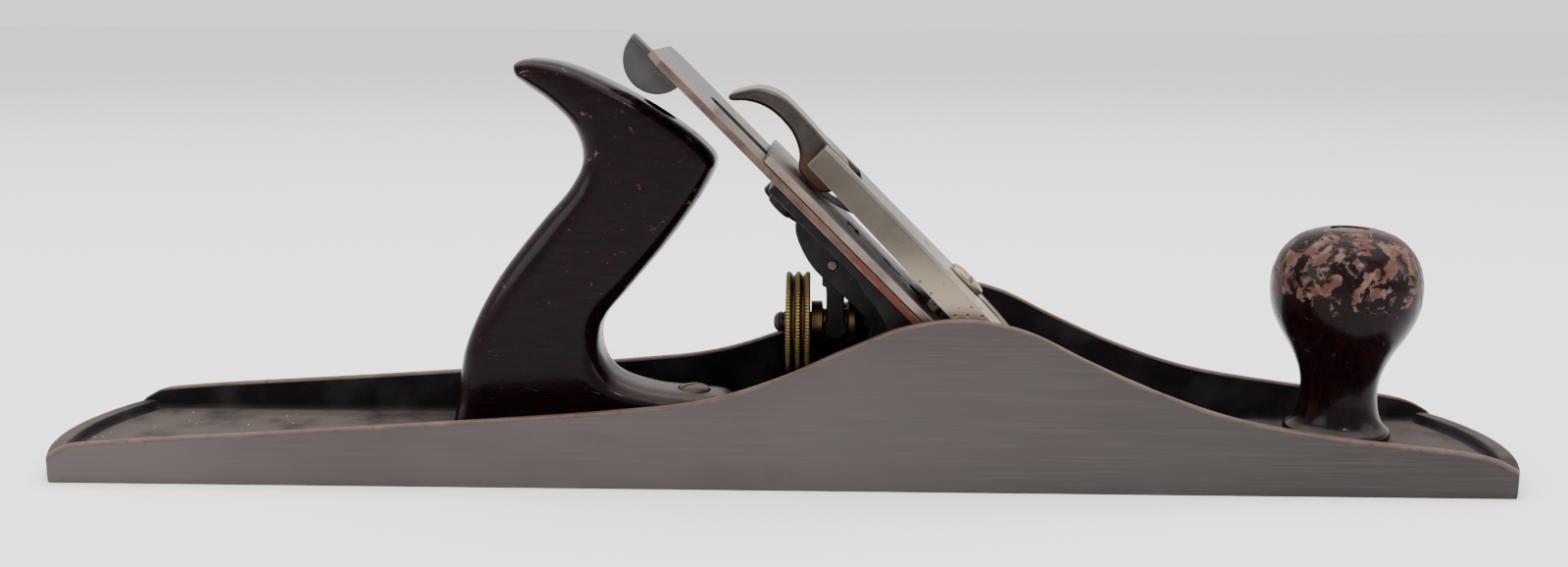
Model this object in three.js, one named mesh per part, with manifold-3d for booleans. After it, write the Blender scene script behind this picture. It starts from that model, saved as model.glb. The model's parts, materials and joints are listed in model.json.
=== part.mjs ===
// Metal bench plane of the fore plane size, with an adjustable frog.
// Millimetres. +X is the toe, +Y the far cheek, +Z up. The sole rests on z = 0.
import * as THREE from 'three';
import { mergeVertices } from 'three/addons/utils/BufferGeometryUtils.js';
import Module from 'manifold-3d';

const wasm = await Module();
wasm.setup();

// ---------------------------------------------------------------- driving dimensions
const GAP = 0.3;                  // clearance between touching pieces
const LENGTH = 456;               // sole, toe to heel
const WIDTH = 73;                 // sole
const END_BOW = 9.5;              // how far each curved end stands out past its corners
const FLOOR = 4;                  // thickness of the sole plate
const CHEEK = 3.4;                // thickness of the side walls
const END_BEAD = 7.5;             // height of the raised bead round each end

const BED_X = 90;                 // where the bed plane meets the sole, at 45 degrees
const IRON_WIDTH = 60.3;
const IRON_THICK = 2.3;
const IRON_TOP = 180.5;           // distances along the bed are measured from z = 0
const BREAKER_THICK = 2.4;
const BREAKER_TOP = 135;
const BREAKER_FACE = IRON_THICK + GAP + BREAKER_THICK;

const CAP_SCREW_S = 63;           // lever cap screw, along the bed
const IRON_SCREW_S = 82;          // screw that joins the iron and chip breaker
const Y_TIP_S = 99.5;             // tip of the Y lever
const LATERAL_PIVOT_S = 122;
const ROLLER_S = 111;
const CAM_PIVOT = [117.5, 13.3];  // along and above the bed
const CAM_PIN = { radius: 2.1, half: 20.5 };

const Y_PIVOT = [16.7, 64.1];     // x and z
const WHEEL_Z = 43.9;             // height of the adjuster axis
const WHEEL_RADIUS = 15.9;
const STUD_RADIUS = 3.55;
const FROG_SEAT = 11.7;           // height of the machined seat
const FROG_BASE = FROG_SEAT + GAP;
const FROG_HALF = 25.5;
const FROG_SCREW = [60, 14];      // x and half spacing
const FROG_TRAVEL = 1.5;          // room for the frog each way round its screws
const FROG_WEB = { inner: 8.3, outer: 12.8, flank: 21.5 };
const LEDGE_TOP = 19;             // where the frog screws' washers press
const ADJUST_Z = 8.2;             // frog adjusting screw axis
const CLIP_SCREW_Z = 21.5;
const PIN_RADIUS = 1.5;           // Y lever pin, roller rivet and other small shanks

const KNOB_X = 177;
const KNOB_BASE = 8.5;
const KNOB_TOP = 75.2;
const TOTE_BASE = 7;
const TOTE_HALF = 12.5;
const ROD_RADIUS = 2.8;
const NUT_RADIUS = 5.5;
const TOTE_NUT = { low: -8, bore: -6, top: -1.5 };   // along the rod from the tote's top
const KNOB_NUT = { low: 66, bore: 68.5 };            // heights
const TOTE_ROD_TOP = [-37.2, 110];
const TOTE_ROD_LEAN = 0.485;      // radians from upright
const TOE_SCREW = { x: -26.8, seat: 19.5, head: 5, shank: 2.1, low: 2.7 };

// ---------------------------------------------------------------- materials
const material = (color, roughness, metalness) =>
  new THREE.MeshStandardMaterial({ color, roughness, metalness });
const castIron = material(0x6b625e, 0.5, 0.9);
const japan = material(0x16100f, 0.35, 0.1);
const steel = material(0x7d716a, 0.42, 1);
const darkSteel = material(0x4a4543, 0.5, 1);
const nickel = material(0x9a9186, 0.3, 1);
const brass = material(0x8a6a35, 0.4, 1);
const rosewood = material(0x2a1210, 0.3, 0);

// ---------------------------------------------------------------- solids
function toSolid(geometry) {
  const bare = geometry.index ? geometry.toNonIndexed() : geometry.clone();
  bare.deleteAttribute('normal');
  bare.deleteAttribute('uv');
  const merged = mergeVertices(bare, 1e-4);
  const mesh = new wasm.Mesh({
    numProp: 3,
    vertProperties: Float32Array.from(merged.attributes.position.array),
    triVerts: Uint32Array.from(merged.index.array),
  });
  mesh.merge();
  return new wasm.Manifold(mesh);
}

function toGeometry(solid) {
  const mesh = solid.getMesh();
  const geometry = new THREE.BufferGeometry();
  geometry.setAttribute('position', new THREE.BufferAttribute(mesh.vertProperties, 3));
  geometry.setIndex(new THREE.BufferAttribute(mesh.triVerts, 1));
  return geometry;
}

const join = (first, ...rest) => rest.reduce((sum, next) => sum.add(next), first);
const cut = (first, ...rest) => rest.reduce((left, next) => left.subtract(next), first);

function outline(points) {
  return new THREE.Shape(points.map(([x, y]) => new THREE.Vector2(x, y)));
}

function smoothOutline(points, steps) {
  const curve = new THREE.CatmullRomCurve3(
    points.map(([x, y]) => new THREE.Vector3(x, y, 0)), true, 'centripetal');
  return outline(curve.getPoints(steps).slice(0, -1).map((p) => [p.x, p.y]));
}

function circle(x, y, radius) {
  return new THREE.Shape().absarc(x, y, radius, 0, 2 * Math.PI, false);
}

// A slot with round ends between two centres on one line y = constant.
function slotShape(x0, x1, radius, y = 0) {
  const shape = new THREE.Shape();
  shape.absarc(x1, y, radius, -Math.PI / 2, Math.PI / 2, false);
  shape.absarc(x0, y, radius, Math.PI / 2, 1.5 * Math.PI, false);
  return shape;
}

// A plan shape in x and y, filled from z0 to z1.
function plate(shape, z0, z1, curveSegments = 8) {
  const geometry = new THREE.ExtrudeGeometry(shape,
    { depth: z1 - z0, bevelEnabled: false, curveSegments });
  return toSolid(geometry.translate(0, 0, z0));
}

// A side shape in x and z, filled from y0 to y1.
function slab(shape, y0, y1, curveSegments = 8) {
  const geometry = new THREE.ExtrudeGeometry(shape,
    { depth: y1 - y0, bevelEnabled: false, curveSegments });
  return toSolid(geometry.rotateX(Math.PI / 2).translate(0, y1, 0));
}

function box(x0, x1, y0, y1, z0, z1) {
  const geometry = new THREE.BoxGeometry(x1 - x0, y1 - y0, z1 - z0);
  return toSolid(geometry.translate((x0 + x1) / 2, (y0 + y1) / 2, (z0 + z1) / 2));
}

// Turned pieces: the profile is [radius, height] pairs, and the axis ends up along Z, Y or X.
function turned(profile, segments = 20) {
  const points = profile.map(([r, h]) => new THREE.Vector2(r, h));
  return toSolid(new THREE.LatheGeometry(points, segments).rotateX(Math.PI / 2));
}

function rodZ(x, y, radius, z0, z1, segments = 16) {
  return turned([[0, z0], [radius, z0], [radius, z1], [0, z1]], segments).translate([x, y, 0]);
}

function rodY(x, z, radius, y0, y1, segments = 16) {
  return rodZ(0, 0, radius, y0, y1, segments).rotate([-90, 0, 0]).translate([x, 0, z]);
}

function rodX(y, z, radius, x0, x1, segments = 16) {
  return rodZ(0, 0, radius, x0, x1, segments).rotate([0, 90, 0]).translate([0, y, z]);
}

// ---------------------------------------------------------------- scene graph helpers
const plane = new THREE.Group();

// Pieces on the bed are drawn flat: x runs up the bed, z stands out from it.
const bed = new THREE.Group();
const ROOT_HALF = Math.SQRT1_2;
bed.matrix.makeBasis(
  new THREE.Vector3(-ROOT_HALF, 0, ROOT_HALF),
  new THREE.Vector3(0, -1, 0),
  new THREE.Vector3(ROOT_HALF, 0, ROOT_HALF));
bed.matrix.setPosition(BED_X, 0, 0);
bed.matrix.decompose(bed.position, bed.quaternion, bed.scale);
plane.add(bed);

function put(name, solid, look, group = plane) {
  const mesh = new THREE.Mesh(toGeometry(solid), look);
  mesh.name = name;
  group.add(mesh);
}

// Where a point s up the bed and t above it lies in x and z.
function bedPoint(s, t) {
  return [BED_X + (t - s) * ROOT_HALF, (s + t) * ROOT_HALF];
}

// Turns a solid drawn on the bed into one in the plane's own axes.
function offBed(solid) {
  return solid.rotate([0, 0, 180]).rotate([0, 45, 0]).translate([BED_X, 0, 0]);
}

// ---------------------------------------------------------------- sole casting
const CORNER_X = LENGTH / 2 - END_BOW;
const HALF_WIDTH = WIDTH / 2;
const END_RADIUS = (HALF_WIDTH ** 2 + END_BOW ** 2) / (2 * END_BOW);
const END_CENTRE = LENGTH / 2 - END_RADIUS;
const END_ANGLE = Math.asin(HALF_WIDTH / END_RADIUS);
const MOUTH = { back: 84.5, front: 95, half: 32 };

function soleShape() {
  const shape = new THREE.Shape();
  shape.absarc(END_CENTRE, 0, END_RADIUS, -END_ANGLE, END_ANGLE, false);
  shape.absarc(-END_CENTRE, 0, END_RADIUS, Math.PI - END_ANGLE, Math.PI + END_ANGLE, false);
  return shape;
}

function endBead() {
  const width = 5;
  const shape = new THREE.Shape();
  shape.absarc(END_CENTRE, 0, END_RADIUS, -END_ANGLE, END_ANGLE, false);
  shape.absarc(END_CENTRE, 0, END_RADIUS - width, END_ANGLE, -END_ANGLE, true);
  return plate(shape, FLOOR / 2, END_BEAD, 16);
}

// Height of the cheeks from heel to toe: low ends, a hump beside the frog.
function cheek() {
  const top = new THREE.SplineCurve([
    [-CORNER_X, 8], [-212, 11.4], [-203, 12.6], [-130, 17.6], [-50, 23.6], [-22, 27],
    [0, 33.8], [20, 42.8], [38, 50], [56, 52.2], [73, 49], [92, 40], [112, 31.2],
    [136, 23.2], [170, 17.4], [204, 13.4], [212, 11.4], [CORNER_X, 8],
  ].map(([x, z]) => new THREE.Vector2(x, z)));
  const rim = top.getPoints(54).map((p) => [p.x, p.y]).reverse();
  const shape = outline([[-CORNER_X, 0], [CORNER_X, 0], ...rim]);
  return slab(shape, HALF_WIDTH - CHEEK, HALF_WIDTH);
}

function mouth() {
  const slope = 3.5;
  const shape = outline([
    [MOUTH.back, -1], [MOUTH.front, -1], [MOUTH.front, 0],
    [MOUTH.front + slope, FLOOR + 1], [MOUTH.back, FLOOR + 1],
  ]);
  return slab(shape, -MOUTH.half, MOUTH.half);
}

function frogSeat() {
  const shape = outline([[33, FLOOR - 1], [72.5, FLOOR - 1], [71.5, FROG_SEAT], [33, FROG_SEAT]]);
  const screws = [-1, 1].map((side) =>
    rodZ(FROG_SCREW[0], side * FROG_SCREW[1], 2.8, FLOOR + 1.5, FROG_SEAT + 1));
  return cut(slab(shape, -26, 26), ...screws, rodX(0, ADJUST_Z, 2.7, 32, 58));
}

function toteRod(radius, from, to) {
  const lean = THREE.MathUtils.radToDeg(TOTE_ROD_LEAN);
  return rodZ(0, 0, radius, from, to).rotate([0, lean, 0])
    .translate([TOTE_ROD_TOP[0], 0, TOTE_ROD_TOP[1]]);
}

const TOTE_ROD_LENGTH = (TOTE_ROD_TOP[1] - 5) / Math.cos(TOTE_ROD_LEAN);

function soleCasting() {
  const far = cheek();
  const near = far.mirror([0, 1, 0]);
  const toteBoss = plate(slotShape(-92, -24, 9), FLOOR - 1, TOTE_BASE - GAP);
  const knobBoss = rodZ(KNOB_X, 0, 17.5, FLOOR - 1, KNOB_BASE - GAP);
  const nib = slab(outline([[103.5, 34.4], [105, 28], [111, 27], [111, 31.2]]), -34, -30.5);
  const whole = join(plate(soleShape(), 0, FLOOR, 16), far, near, endBead(),
    endBead().rotate([0, 0, 180]), toteBoss, knobBoss, frogSeat(), nib);
  return cut(whole, mouth(),
    rodZ(KNOB_X, 0, ROD_RADIUS + GAP, 3, KNOB_BASE),
    toteRod(ROD_RADIUS + GAP, -TOTE_ROD_LENGTH - GAP, 0),
    rodZ(TOE_SCREW.x, 0, TOE_SCREW.shank + GAP, TOE_SCREW.low, TOTE_BASE));
}
put('body', soleCasting(), castIron);

// ---------------------------------------------------------------- handles
// Side view of the tote, from the rear of its foot up the back to the horn and down the front.
const TOTE_OUTLINE = [
  [-102, 8], [-101, 20], [-98.6, 35.9], [-89, 55.7], [-73.6, 75.8], [-64.3, 86.6],
  [-60.4, 95], [-62.5, 104.5], [-70, 112.8], [-78.3, 119], [-80, 123.6], [-75.5, 125.7],
  [-66, 124.6], [-50, 118], [-35.3, 109.7], [-23.5, 101], [-19.2, 95.2], [-21.5, 88.5],
  [-33.2, 71.3], [-46.8, 55], [-55, 44.5], [-55.8, 35.5], [-51.5, 27.8], [-40, 23.3],
  [-26, 21.8], [-16, 20.2], [-12.5, 15], [-12.5, 8],
];

function tote() {
  const round = 2;
  const edge = 4;
  const geometry = new THREE.ExtrudeGeometry(smoothOutline(TOTE_OUTLINE, 60), {
    depth: 2 * (TOTE_HALF - edge), bevelThickness: edge, bevelSize: round,
    bevelOffset: -round, bevelSegments: 2,
  });
  const solid = toSolid(geometry.rotateX(Math.PI / 2).translate(0, TOTE_HALF - edge, 0));
  const foot = box(-140, 20, -20, 20, -20, TOTE_BASE);
  return cut(solid, foot,
    toteRod(ROD_RADIUS + GAP, -TOTE_ROD_LENGTH - 9, 10),
    toteRod(NUT_RADIUS + GAP, TOTE_NUT.low, 14),
    rodZ(TOE_SCREW.x, 0, TOE_SCREW.shank + GAP, 0, 40),
    rodZ(TOE_SCREW.x, 0, TOE_SCREW.head + GAP, TOE_SCREW.seat, 40));
}
put('tote', tote(), rosewood);
put('tote_rod', toteRod(ROD_RADIUS, -TOTE_ROD_LENGTH, TOTE_NUT.bore - GAP), darkSteel);
put('tote_nut', cut(toteRod(NUT_RADIUS, TOTE_NUT.low + GAP, TOTE_NUT.top),
  toteRod(ROD_RADIUS + GAP, TOTE_NUT.low - 1, TOTE_NUT.bore)), brass);

function slottedHead(radius, height, slotWidth, segments = 16) {
  const dome = turned([[0, 0], [radius, 0], [radius, height * 0.55], [radius * 0.72, height * 0.85],
    [0, height]], segments);
  return cut(dome, box(-radius, radius, -slotWidth / 2, slotWidth / 2, height * 0.5, height + 1));
}

function toeScrew() {
  const { x, seat, head, shank, low } = TOE_SCREW;
  const dome = slottedHead(head, 3.7, 1.2).translate([x, 0, seat + GAP]);
  return join(dome, rodZ(x, 0, shank, low + GAP, seat + 1));
}
put('tote_toe_screw', toeScrew(), darkSteel);

function knob() {
  const foot = KNOB_BASE;
  const ball = 56.4;
  const profile = [[0, foot], [15, foot], [16.2, foot + 1.2], [16, foot + 3.2], [13.4, 14.4],
    [11.9, 19], [11.5, 24.5], [12.4, 30], [15.2, 36.6], [19, 43], [21.7, 49.4], [22.6, ball],
    [21.8, 62.6], [19, 68.4], [14.4, 72.6], [8.5, 74.8], [0, KNOB_TOP]];
  const solid = turned(profile, 30);
  return cut(solid, rodZ(0, 0, ROD_RADIUS + GAP, 0, 80), rodZ(0, 0, NUT_RADIUS + GAP, KNOB_NUT.low, 80))
    .translate([KNOB_X, 0, 0]);
}
put('knob', knob(), rosewood);
put('knob_rod', rodZ(KNOB_X, 0, ROD_RADIUS, 3 + GAP, KNOB_NUT.bore - GAP), darkSteel);
const knobNut = rodZ(KNOB_X, 0, NUT_RADIUS, KNOB_NUT.low + GAP, KNOB_TOP - 0.6);
put('knob_nut', cut(knobNut, rodZ(KNOB_X, 0, ROD_RADIUS + GAP, 60, KNOB_NUT.bore)), brass);

// ---------------------------------------------------------------- frog
const PLATE_BACK = -3.2;          // back of the frog's bed plate, below the bed
const BED_FACE = -GAP;

function bedPlate() {
  const cutAtFloor = 6.3;         // s + t where the plate ends just above the sole
  const shape = outline([[cutAtFloor - BED_FACE, BED_FACE], [128, BED_FACE],
    [128, PLATE_BACK], [cutAtFloor - PLATE_BACK, PLATE_BACK]]);
  const backing = box(70, 90.8, -13, 13, -6.2, PLATE_BACK + 1);
  const topBoss = plate(slotShape(119, 122, 6, 0), -6.6, PLATE_BACK + 1);
  const lumps = [-1, 1].map((side) =>
    plate(circle(121, side * 9, 4.6), -6.6, PLATE_BACK + 1));
  return join(slab(shape, -FROG_HALF, FROG_HALF), backing, topBoss, ...lumps);
}

// Openings in the bed plate: cap iron screw head, Y lever, lateral lever and lever cap screw.
function bedCuts() {
  const headPocket = plate(slotShape(81.3, 82.7, 7.6), -3.1, 2);
  const tipSlot = box(93.5, 104.6, -5, 5, -8, 2);
  const pivotPocket = box(92.6, 101.8, -8.3, 8.3, -8, -2.1);
  const leverPocket = plate(outline([[105.6, -8.2], [116, -7.4], [129, -8], [129, 8],
    [116, 7.4], [105.6, 8.2]]), -2.5, 2);
  const capScrew = rodZ(CAP_SCREW_S, 0, 3.5, -20, 2);
  const rivet = rodZ(LATERAL_PIVOT_S, 0, 2.3, -10, 2);
  return [headPocket, tipSlot, pivotPocket, leverPocket, capScrew, rivet];
}

function frogWebs() {
  const back = (s) => bedPoint(s, PLATE_BACK + 1);
  const centre = outline([back(12), [74.6, FROG_BASE], [34, FROG_BASE], [34, 28], [31, 40],
    [27, 47.5], [21.7, 53], [17.4, 57], [11.5, 62.4], [8.2, 67.1], [5.5, 73.5], [4.6, 79],
    back(118)]);
  const flank = outline([back(12), [74.6, FROG_BASE], [38, FROG_BASE], [37.2, 26], [35.6, 38],
    [33.2, 46.6], [30.2, 52.4], [26, 57.4], back(93)]);
  const studBlock = outline([[28.6, 37], [49.6, 37], [36, 50.6], [28.6, 50.6]]);
  const foot = outline([[30, FROG_BASE], [74.6, FROG_BASE], [69.6, 17], [34, 17], [34, 26], [30, 26]]);
  return [
    slab(centre, FROG_WEB.inner, FROG_WEB.outer), slab(centre, -FROG_WEB.outer, -FROG_WEB.inner),
    slab(flank, FROG_WEB.flank, FROG_HALF), slab(flank, -FROG_HALF, -FROG_WEB.flank),
    slab(foot, -FROG_HALF, FROG_HALF),
    slab(studBlock, -9, 9),
    offBed(rodZ(CAP_SCREW_S, 0, 7, -14, PLATE_BACK + 1)),
  ];
}

function frog() {
  const [x, half] = FROG_SCREW;
  const screwCuts = [-1, 1].flatMap((side) => [
    plate(slotShape(x - FROG_TRAVEL, x + FROG_TRAVEL, 3.1, side * half), 5, 60),
    plate(slotShape(x - FROG_TRAVEL, x + FROG_TRAVEL, 6.8, side * half), LEDGE_TOP, 60),
  ]);
  const ledges = [-1, 1].map((side) => rodZ(x, side * half, 9.6, FROG_BASE, LEDGE_TOP));
  return cut(join(offBed(bedPlate()), ...frogWebs(), ...ledges),
    ...bedCuts().map(offBed), ...screwCuts,
    rodX(0, WHEEL_Z, STUD_RADIUS + GAP, 20, 35),
    rodY(...Y_PIVOT, PIN_RADIUS + GAP, -20, 20),
    rodX(0, CLIP_SCREW_Z, PIN_RADIUS + GAP, 29, 33.4));
}
put('frog', frog(), japan);

for (const [side, word] of [[-1, 'near'], [1, 'far']]) {
  const [x, half] = FROG_SCREW;
  const head = slottedHead(4.8, 3.4, 1.2).translate([x, side * half, LEDGE_TOP + 1.8]);
  const shank = rodZ(x, side * half, 2.5, 6, LEDGE_TOP + 2);
  put(`frog_screw_${word}`, join(head, shank), darkSteel);
  const washer = cut(rodZ(x, side * half, 6, LEDGE_TOP + GAP, LEDGE_TOP + 1.5),
    rodZ(x, side * half, 2.5 + GAP, LEDGE_TOP, LEDGE_TOP + 2));
  put(`frog_washer_${word}`, washer, darkSteel);
}

function frogAdjustingScrew() {
  const shank = rodX(0, ADJUST_Z, 2.4, 23, 52);
  const collar = rodX(0, ADJUST_Z, 3.7, 30, 31);
  const head = cut(rodX(0, ADJUST_Z, 3.7, 22, 27.6), box(21, 23.4, -0.6, 0.6, 0, 20));
  return join(shank, collar, head);
}
put('frog_adjusting_screw', frogAdjustingScrew(), darkSteel);

function frogAdjustingClip() {
  const tab = box(28.1, 29.6, -6, 6, 5, 26);
  const fork = box(27, 31, -2.7, 2.7, 4, ADJUST_Z);
  return cut(tab, fork, rodX(0, ADJUST_Z, 2.7, 27, 31), rodX(0, CLIP_SCREW_Z, PIN_RADIUS + GAP, 27, 31));
}
put('frog_adjusting_clip', frogAdjustingClip(), darkSteel);
const clipHead = cut(rodX(0, CLIP_SCREW_Z, 3.2, 25.6, 27.8), box(25, 26.4, -0.4, 0.4, 17, 26));
put('frog_clip_screw', join(clipHead, rodX(0, CLIP_SCREW_Z, PIN_RADIUS, 27.5, 33)), darkSteel);

// ---------------------------------------------------------------- depth adjustment
const GROOVE = { x: 17.9, half: 4, core: 4.4, flange: 6.8 };

function yLever() {
  const [px, pz] = Y_PIVOT;
  const arm = outline([[px - 3, pz], [GROOVE.x - 2.8, 50], [GROOVE.x - 2.8, WHEEL_Z],
    [GROOVE.x + 2.8, WHEEL_Z], [GROOVE.x + 2.8, 50], [px + 3, pz]]);
  const lower = join(slab(arm, -7.6, 7.6), rodY(GROOVE.x, WHEEL_Z, 3.7, -7.6, 7.6));
  const fork = cut(lower, box(0, 40, -4.8, 4.8, 30, 55.5));
  const tipArm = offBed(box(Y_TIP_S - 4.4, Y_TIP_S + 1.9, -4.2, 4.2, -5, -3.6));
  const tip = offBed(slab(outline([[95.4, -6], [99.4, -6], [101.4, 4.1], [100.6, 4.7],
    [98.4, 4.7], [97.6, 4.1]]), -4.2, 4.2));
  const barrel = rodY(px, pz, 3.9, -7.8, 7.8);
  return cut(join(fork, barrel, tipArm, tip), rodY(px, pz, PIN_RADIUS + GAP, -9, 9));
}
put('y_lever', yLever(), japan);
put('y_lever_pin', rodY(...Y_PIVOT, PIN_RADIUS, -13.2, 13.2), darkSteel);
put('adjuster_stud', rodX(0, WHEEL_Z, STUD_RADIUS, -1.6, 34.4), steel);

function alongX(profile, segments) {
  return turned(profile, segments).rotate([0, 90, 0]).translate([0, 0, WHEEL_Z]);
}

function wheelHub() {
  const bore = STUD_RADIUS + GAP;
  const [near, far] = [GROOVE.x - GROOVE.half, GROOVE.x + GROOVE.half];
  return alongX([[bore, 10.3], [GROOVE.flange, 10.3], [GROOVE.flange, near], [GROOVE.core, near],
    [GROOVE.core, far], [GROOVE.flange, far], [GROOVE.flange, 24.1], [bore, 24.1], [bore, 10.3]]);
}
put('depth_wheel_hub', wheelHub(), brass);

// Three knurled ridges with two grooves between them.
function wheelRim() {
  const bore = STUD_RADIUS + GAP;
  const [x0, ridge, groove, depth] = [2.4, 1.7, 1.25, 1];
  const profile = [[bore, x0]];
  for (let k = 0; k < 3; k += 1) {
    const start = x0 + k * (ridge + groove);
    profile.push([WHEEL_RADIUS, start], [WHEEL_RADIUS, start + ridge]);
    if (k < 2) {
      profile.push([WHEEL_RADIUS - depth, start + ridge + groove / 4],
        [WHEEL_RADIUS - depth, start + ridge + groove * 0.75]);
    }
  }
  const x1 = x0 + 3 * ridge + 2 * groove;
  profile.push([bore, x1], [bore, x0]);
  return alongX(profile, 36);
}
put('depth_wheel_rim', wheelRim(), brass);

// ---------------------------------------------------------------- lateral adjustment
const STRIP = { low: -2.2, high: -0.6 };

function lateralLever() {
  const strip = plate(outline([[ROLLER_S - 4, -3.6], [LATERAL_PIVOT_S - 5, -5],
    [LATERAL_PIVOT_S + 6, -5], [168, -4], [189.5, -4], [189.5, 4], [168, 4],
    [LATERAL_PIVOT_S + 6, 5], [LATERAL_PIVOT_S - 5, 5], [ROLLER_S - 4, 3.6]]), STRIP.low, STRIP.high);
  const tab = new THREE.Shape().absarc(179, STRIP.low + 0.8, 10.5, Math.PI, 2 * Math.PI, false);
  return cut(join(strip, slab(tab, -1.1, 1.1)),
    rodZ(LATERAL_PIVOT_S, 0, 2.3, -5, 5), rodZ(ROLLER_S, 0, PIN_RADIUS + GAP, -5, 5));
}
put('lateral_lever', lateralLever(), darkSteel, bed);
const pivotHead = rodZ(LATERAL_PIVOT_S, 0, 3.5, STRIP.high + GAP, 1.2);
put('lateral_lever_rivet', join(pivotHead, rodZ(LATERAL_PIVOT_S, 0, 2, -6.4, 1)), darkSteel, bed);
const roller = cut(rodZ(ROLLER_S, 0, 4.75, STRIP.high + GAP, 1.9),
  rodZ(ROLLER_S, 0, PIN_RADIUS + GAP, -3, 4));
put('lateral_roller', roller, steel, bed);
put('lateral_roller_rivet', rodZ(ROLLER_S, 0, PIN_RADIUS, STRIP.low, 1.9), darkSteel, bed);

// ---------------------------------------------------------------- iron and chip breaker
function iron() {
  const half = IRON_WIDTH / 2;
  const bevelRun = IRON_THICK / Math.tan(THREE.MathUtils.degToRad(25));
  const side = outline([[-IRON_THICK, IRON_THICK], [bevelRun - IRON_THICK, 0], [IRON_TOP, 0],
    [IRON_TOP, IRON_THICK]]);
  const corner = 4;
  const plan = outline([[-9, -half], [IRON_TOP - corner, -half], [IRON_TOP, -half + corner],
    [IRON_TOP, half - corner], [IRON_TOP - corner, half], [-9, half]]);
  const blank = slab(side, -half, half).intersect(plate(plan, -1, IRON_THICK + 1));
  return cut(blank, plate(slotShape(52, 154, 5.55), -1, 4), rodZ(52, 0, 12, -1, 4, 24));
}
put('iron', iron(), steel, bed);

function chipBreaker() {
  const low = IRON_THICK + GAP;
  const top = BREAKER_FACE;
  const hump = new THREE.SplineCurve([[-0.9, low], [1.2, 5.2], [5, 7], [11, 7.6], [18, 7],
    [27, 5.6], [36, top]].map(([s, t]) => new THREE.Vector2(s, t))).getPoints(20);
  const belly = new THREE.SplineCurve([[38, low], [28, low + 0.7], [19, low + 1.9], [11, low + 2.4],
    [6, low + 1.9], [0.6, low]].map(([s, t]) => new THREE.Vector2(s, t))).getPoints(16);
  const side = outline([...hump.map((p) => [p.x, p.y]), [BREAKER_TOP, top], [BREAKER_TOP, low],
    ...belly.map((p) => [p.x, p.y])]);
  const half = IRON_WIDTH / 2;
  return cut(slab(side, -half, half),
    plate(slotShape(58, 68, 6.5), 0, 9),
    rodZ(IRON_SCREW_S, 0, 3.9 + GAP, 0, 9),
    box(Y_TIP_S - 2.7, Y_TIP_S + 2.7, -5.8, 5.8, 0, 9));
}
put('chip_breaker', chipBreaker(), steel, bed);
const ironScrewHead = cut(rodZ(IRON_SCREW_S, 0, 6.2, -2.7, -GAP), box(74, 90, -0.6, 0.6, -4, -1.7));
put('cap_iron_screw', join(ironScrewHead, rodZ(IRON_SCREW_S, 0, 3.9, -1.5, BREAKER_FACE)),
  darkSteel, bed);

// ---------------------------------------------------------------- lever cap
const CAP_TOP = 18.3;
const CAP_HALF = 29;
const CAP_WALL = 2.6;
const SPRING_RIVET_S = 80;

function capPlan(inset) {
  const [low, high] = [6.5 + 3 * inset, 125];
  const half = CAP_HALF - inset;
  const shoulder = 21 - inset;
  return outline([[low, -half], [50, -half], [114, -shoulder - 2], [high, -shoulder],
    [high, shoulder], [114, shoulder + 2], [50, half], [low, half]]);
}

function leverCap() {
  const topLine = [[6.5, 9.6], [14, 12.2], [24, 14.8], [36, 16.9], [52, 17.8], [125, CAP_TOP]];
  const side = outline([[6.5, 8], [20, 8], [62, 9], [125, 10.2], ...topLine.reverse()]);
  const hollow = outline([[24, 0], [140, 0], [140, CAP_TOP - CAP_WALL], [52, 17.8 - CAP_WALL],
    [36, 16.9 - CAP_WALL], [24, 12]]);
  const block = slab(side, -40, 40).intersect(plate(capPlan(0), 0, 30));
  const cavity = slab(hollow, -40, 40).intersect(plate(capPlan(3), 0, 30));
  const keyhole = join(plate(slotShape(50, CAP_SCREW_S, 3.9), 10, 30), rodZ(48, 0, 7.5, 10, 30));
  const camOpening = box(109.5, 140, -14, 14, 5, 30);
  return cut(block, cavity, keyhole, camOpening, box(121, 140, -16, 16, 0, 30),
    rodY(...CAM_PIVOT, CAM_PIN.radius + GAP, -CAM_PIN.half - GAP, CAM_PIN.half + GAP),
    rodZ(SPRING_RIVET_S, 0, PIN_RADIUS + GAP, 10, 30));
}
put('lever_cap', leverCap(), nickel, bed);

const capScrewHead = slottedHead(6.35, 2.6, 1.3).translate([CAP_SCREW_S, 0, 18.3]);
put('lever_cap_screw', join(capScrewHead, rodZ(CAP_SCREW_S, 0, 3.15, -11, 18.8)), nickel, bed);

// Hooked thumb lever with a cam round its pin, closed down on the spring.
function camLever() {
  const shape = outline([[112.6, 12.6], [112.8, 15.8], [115, 18], [124, 18.5], [131, 18.9],
    [138.7, 19.1], [143.8, 18.8], [147.6, 17.6], [151.3, 15.2], [153.8, 11.8], [155.9, 7.6],
    [154.8, 6.7], [151.2, 9.8], [147.9, 11.9], [143.7, 13.3], [138.7, 13.6], [134.5, 13.1],
    [130.5, 11.5], [128.1, 9.8], [126.4, 7.8], [125, 6.6], [122.6, 6.2], [117, 6.2], [114.6, 7.4],
    [113.2, 9.6]]);
  return cut(slab(shape, -12.5, 12.5), rodY(...CAM_PIVOT, CAM_PIN.radius + GAP, -20, 20));
}
put('cam_lever', camLever(), nickel, bed);
put('cam_lever_pin', rodY(...CAM_PIVOT, CAM_PIN.radius, -CAM_PIN.half, CAM_PIN.half),
  darkSteel, bed);

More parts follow.
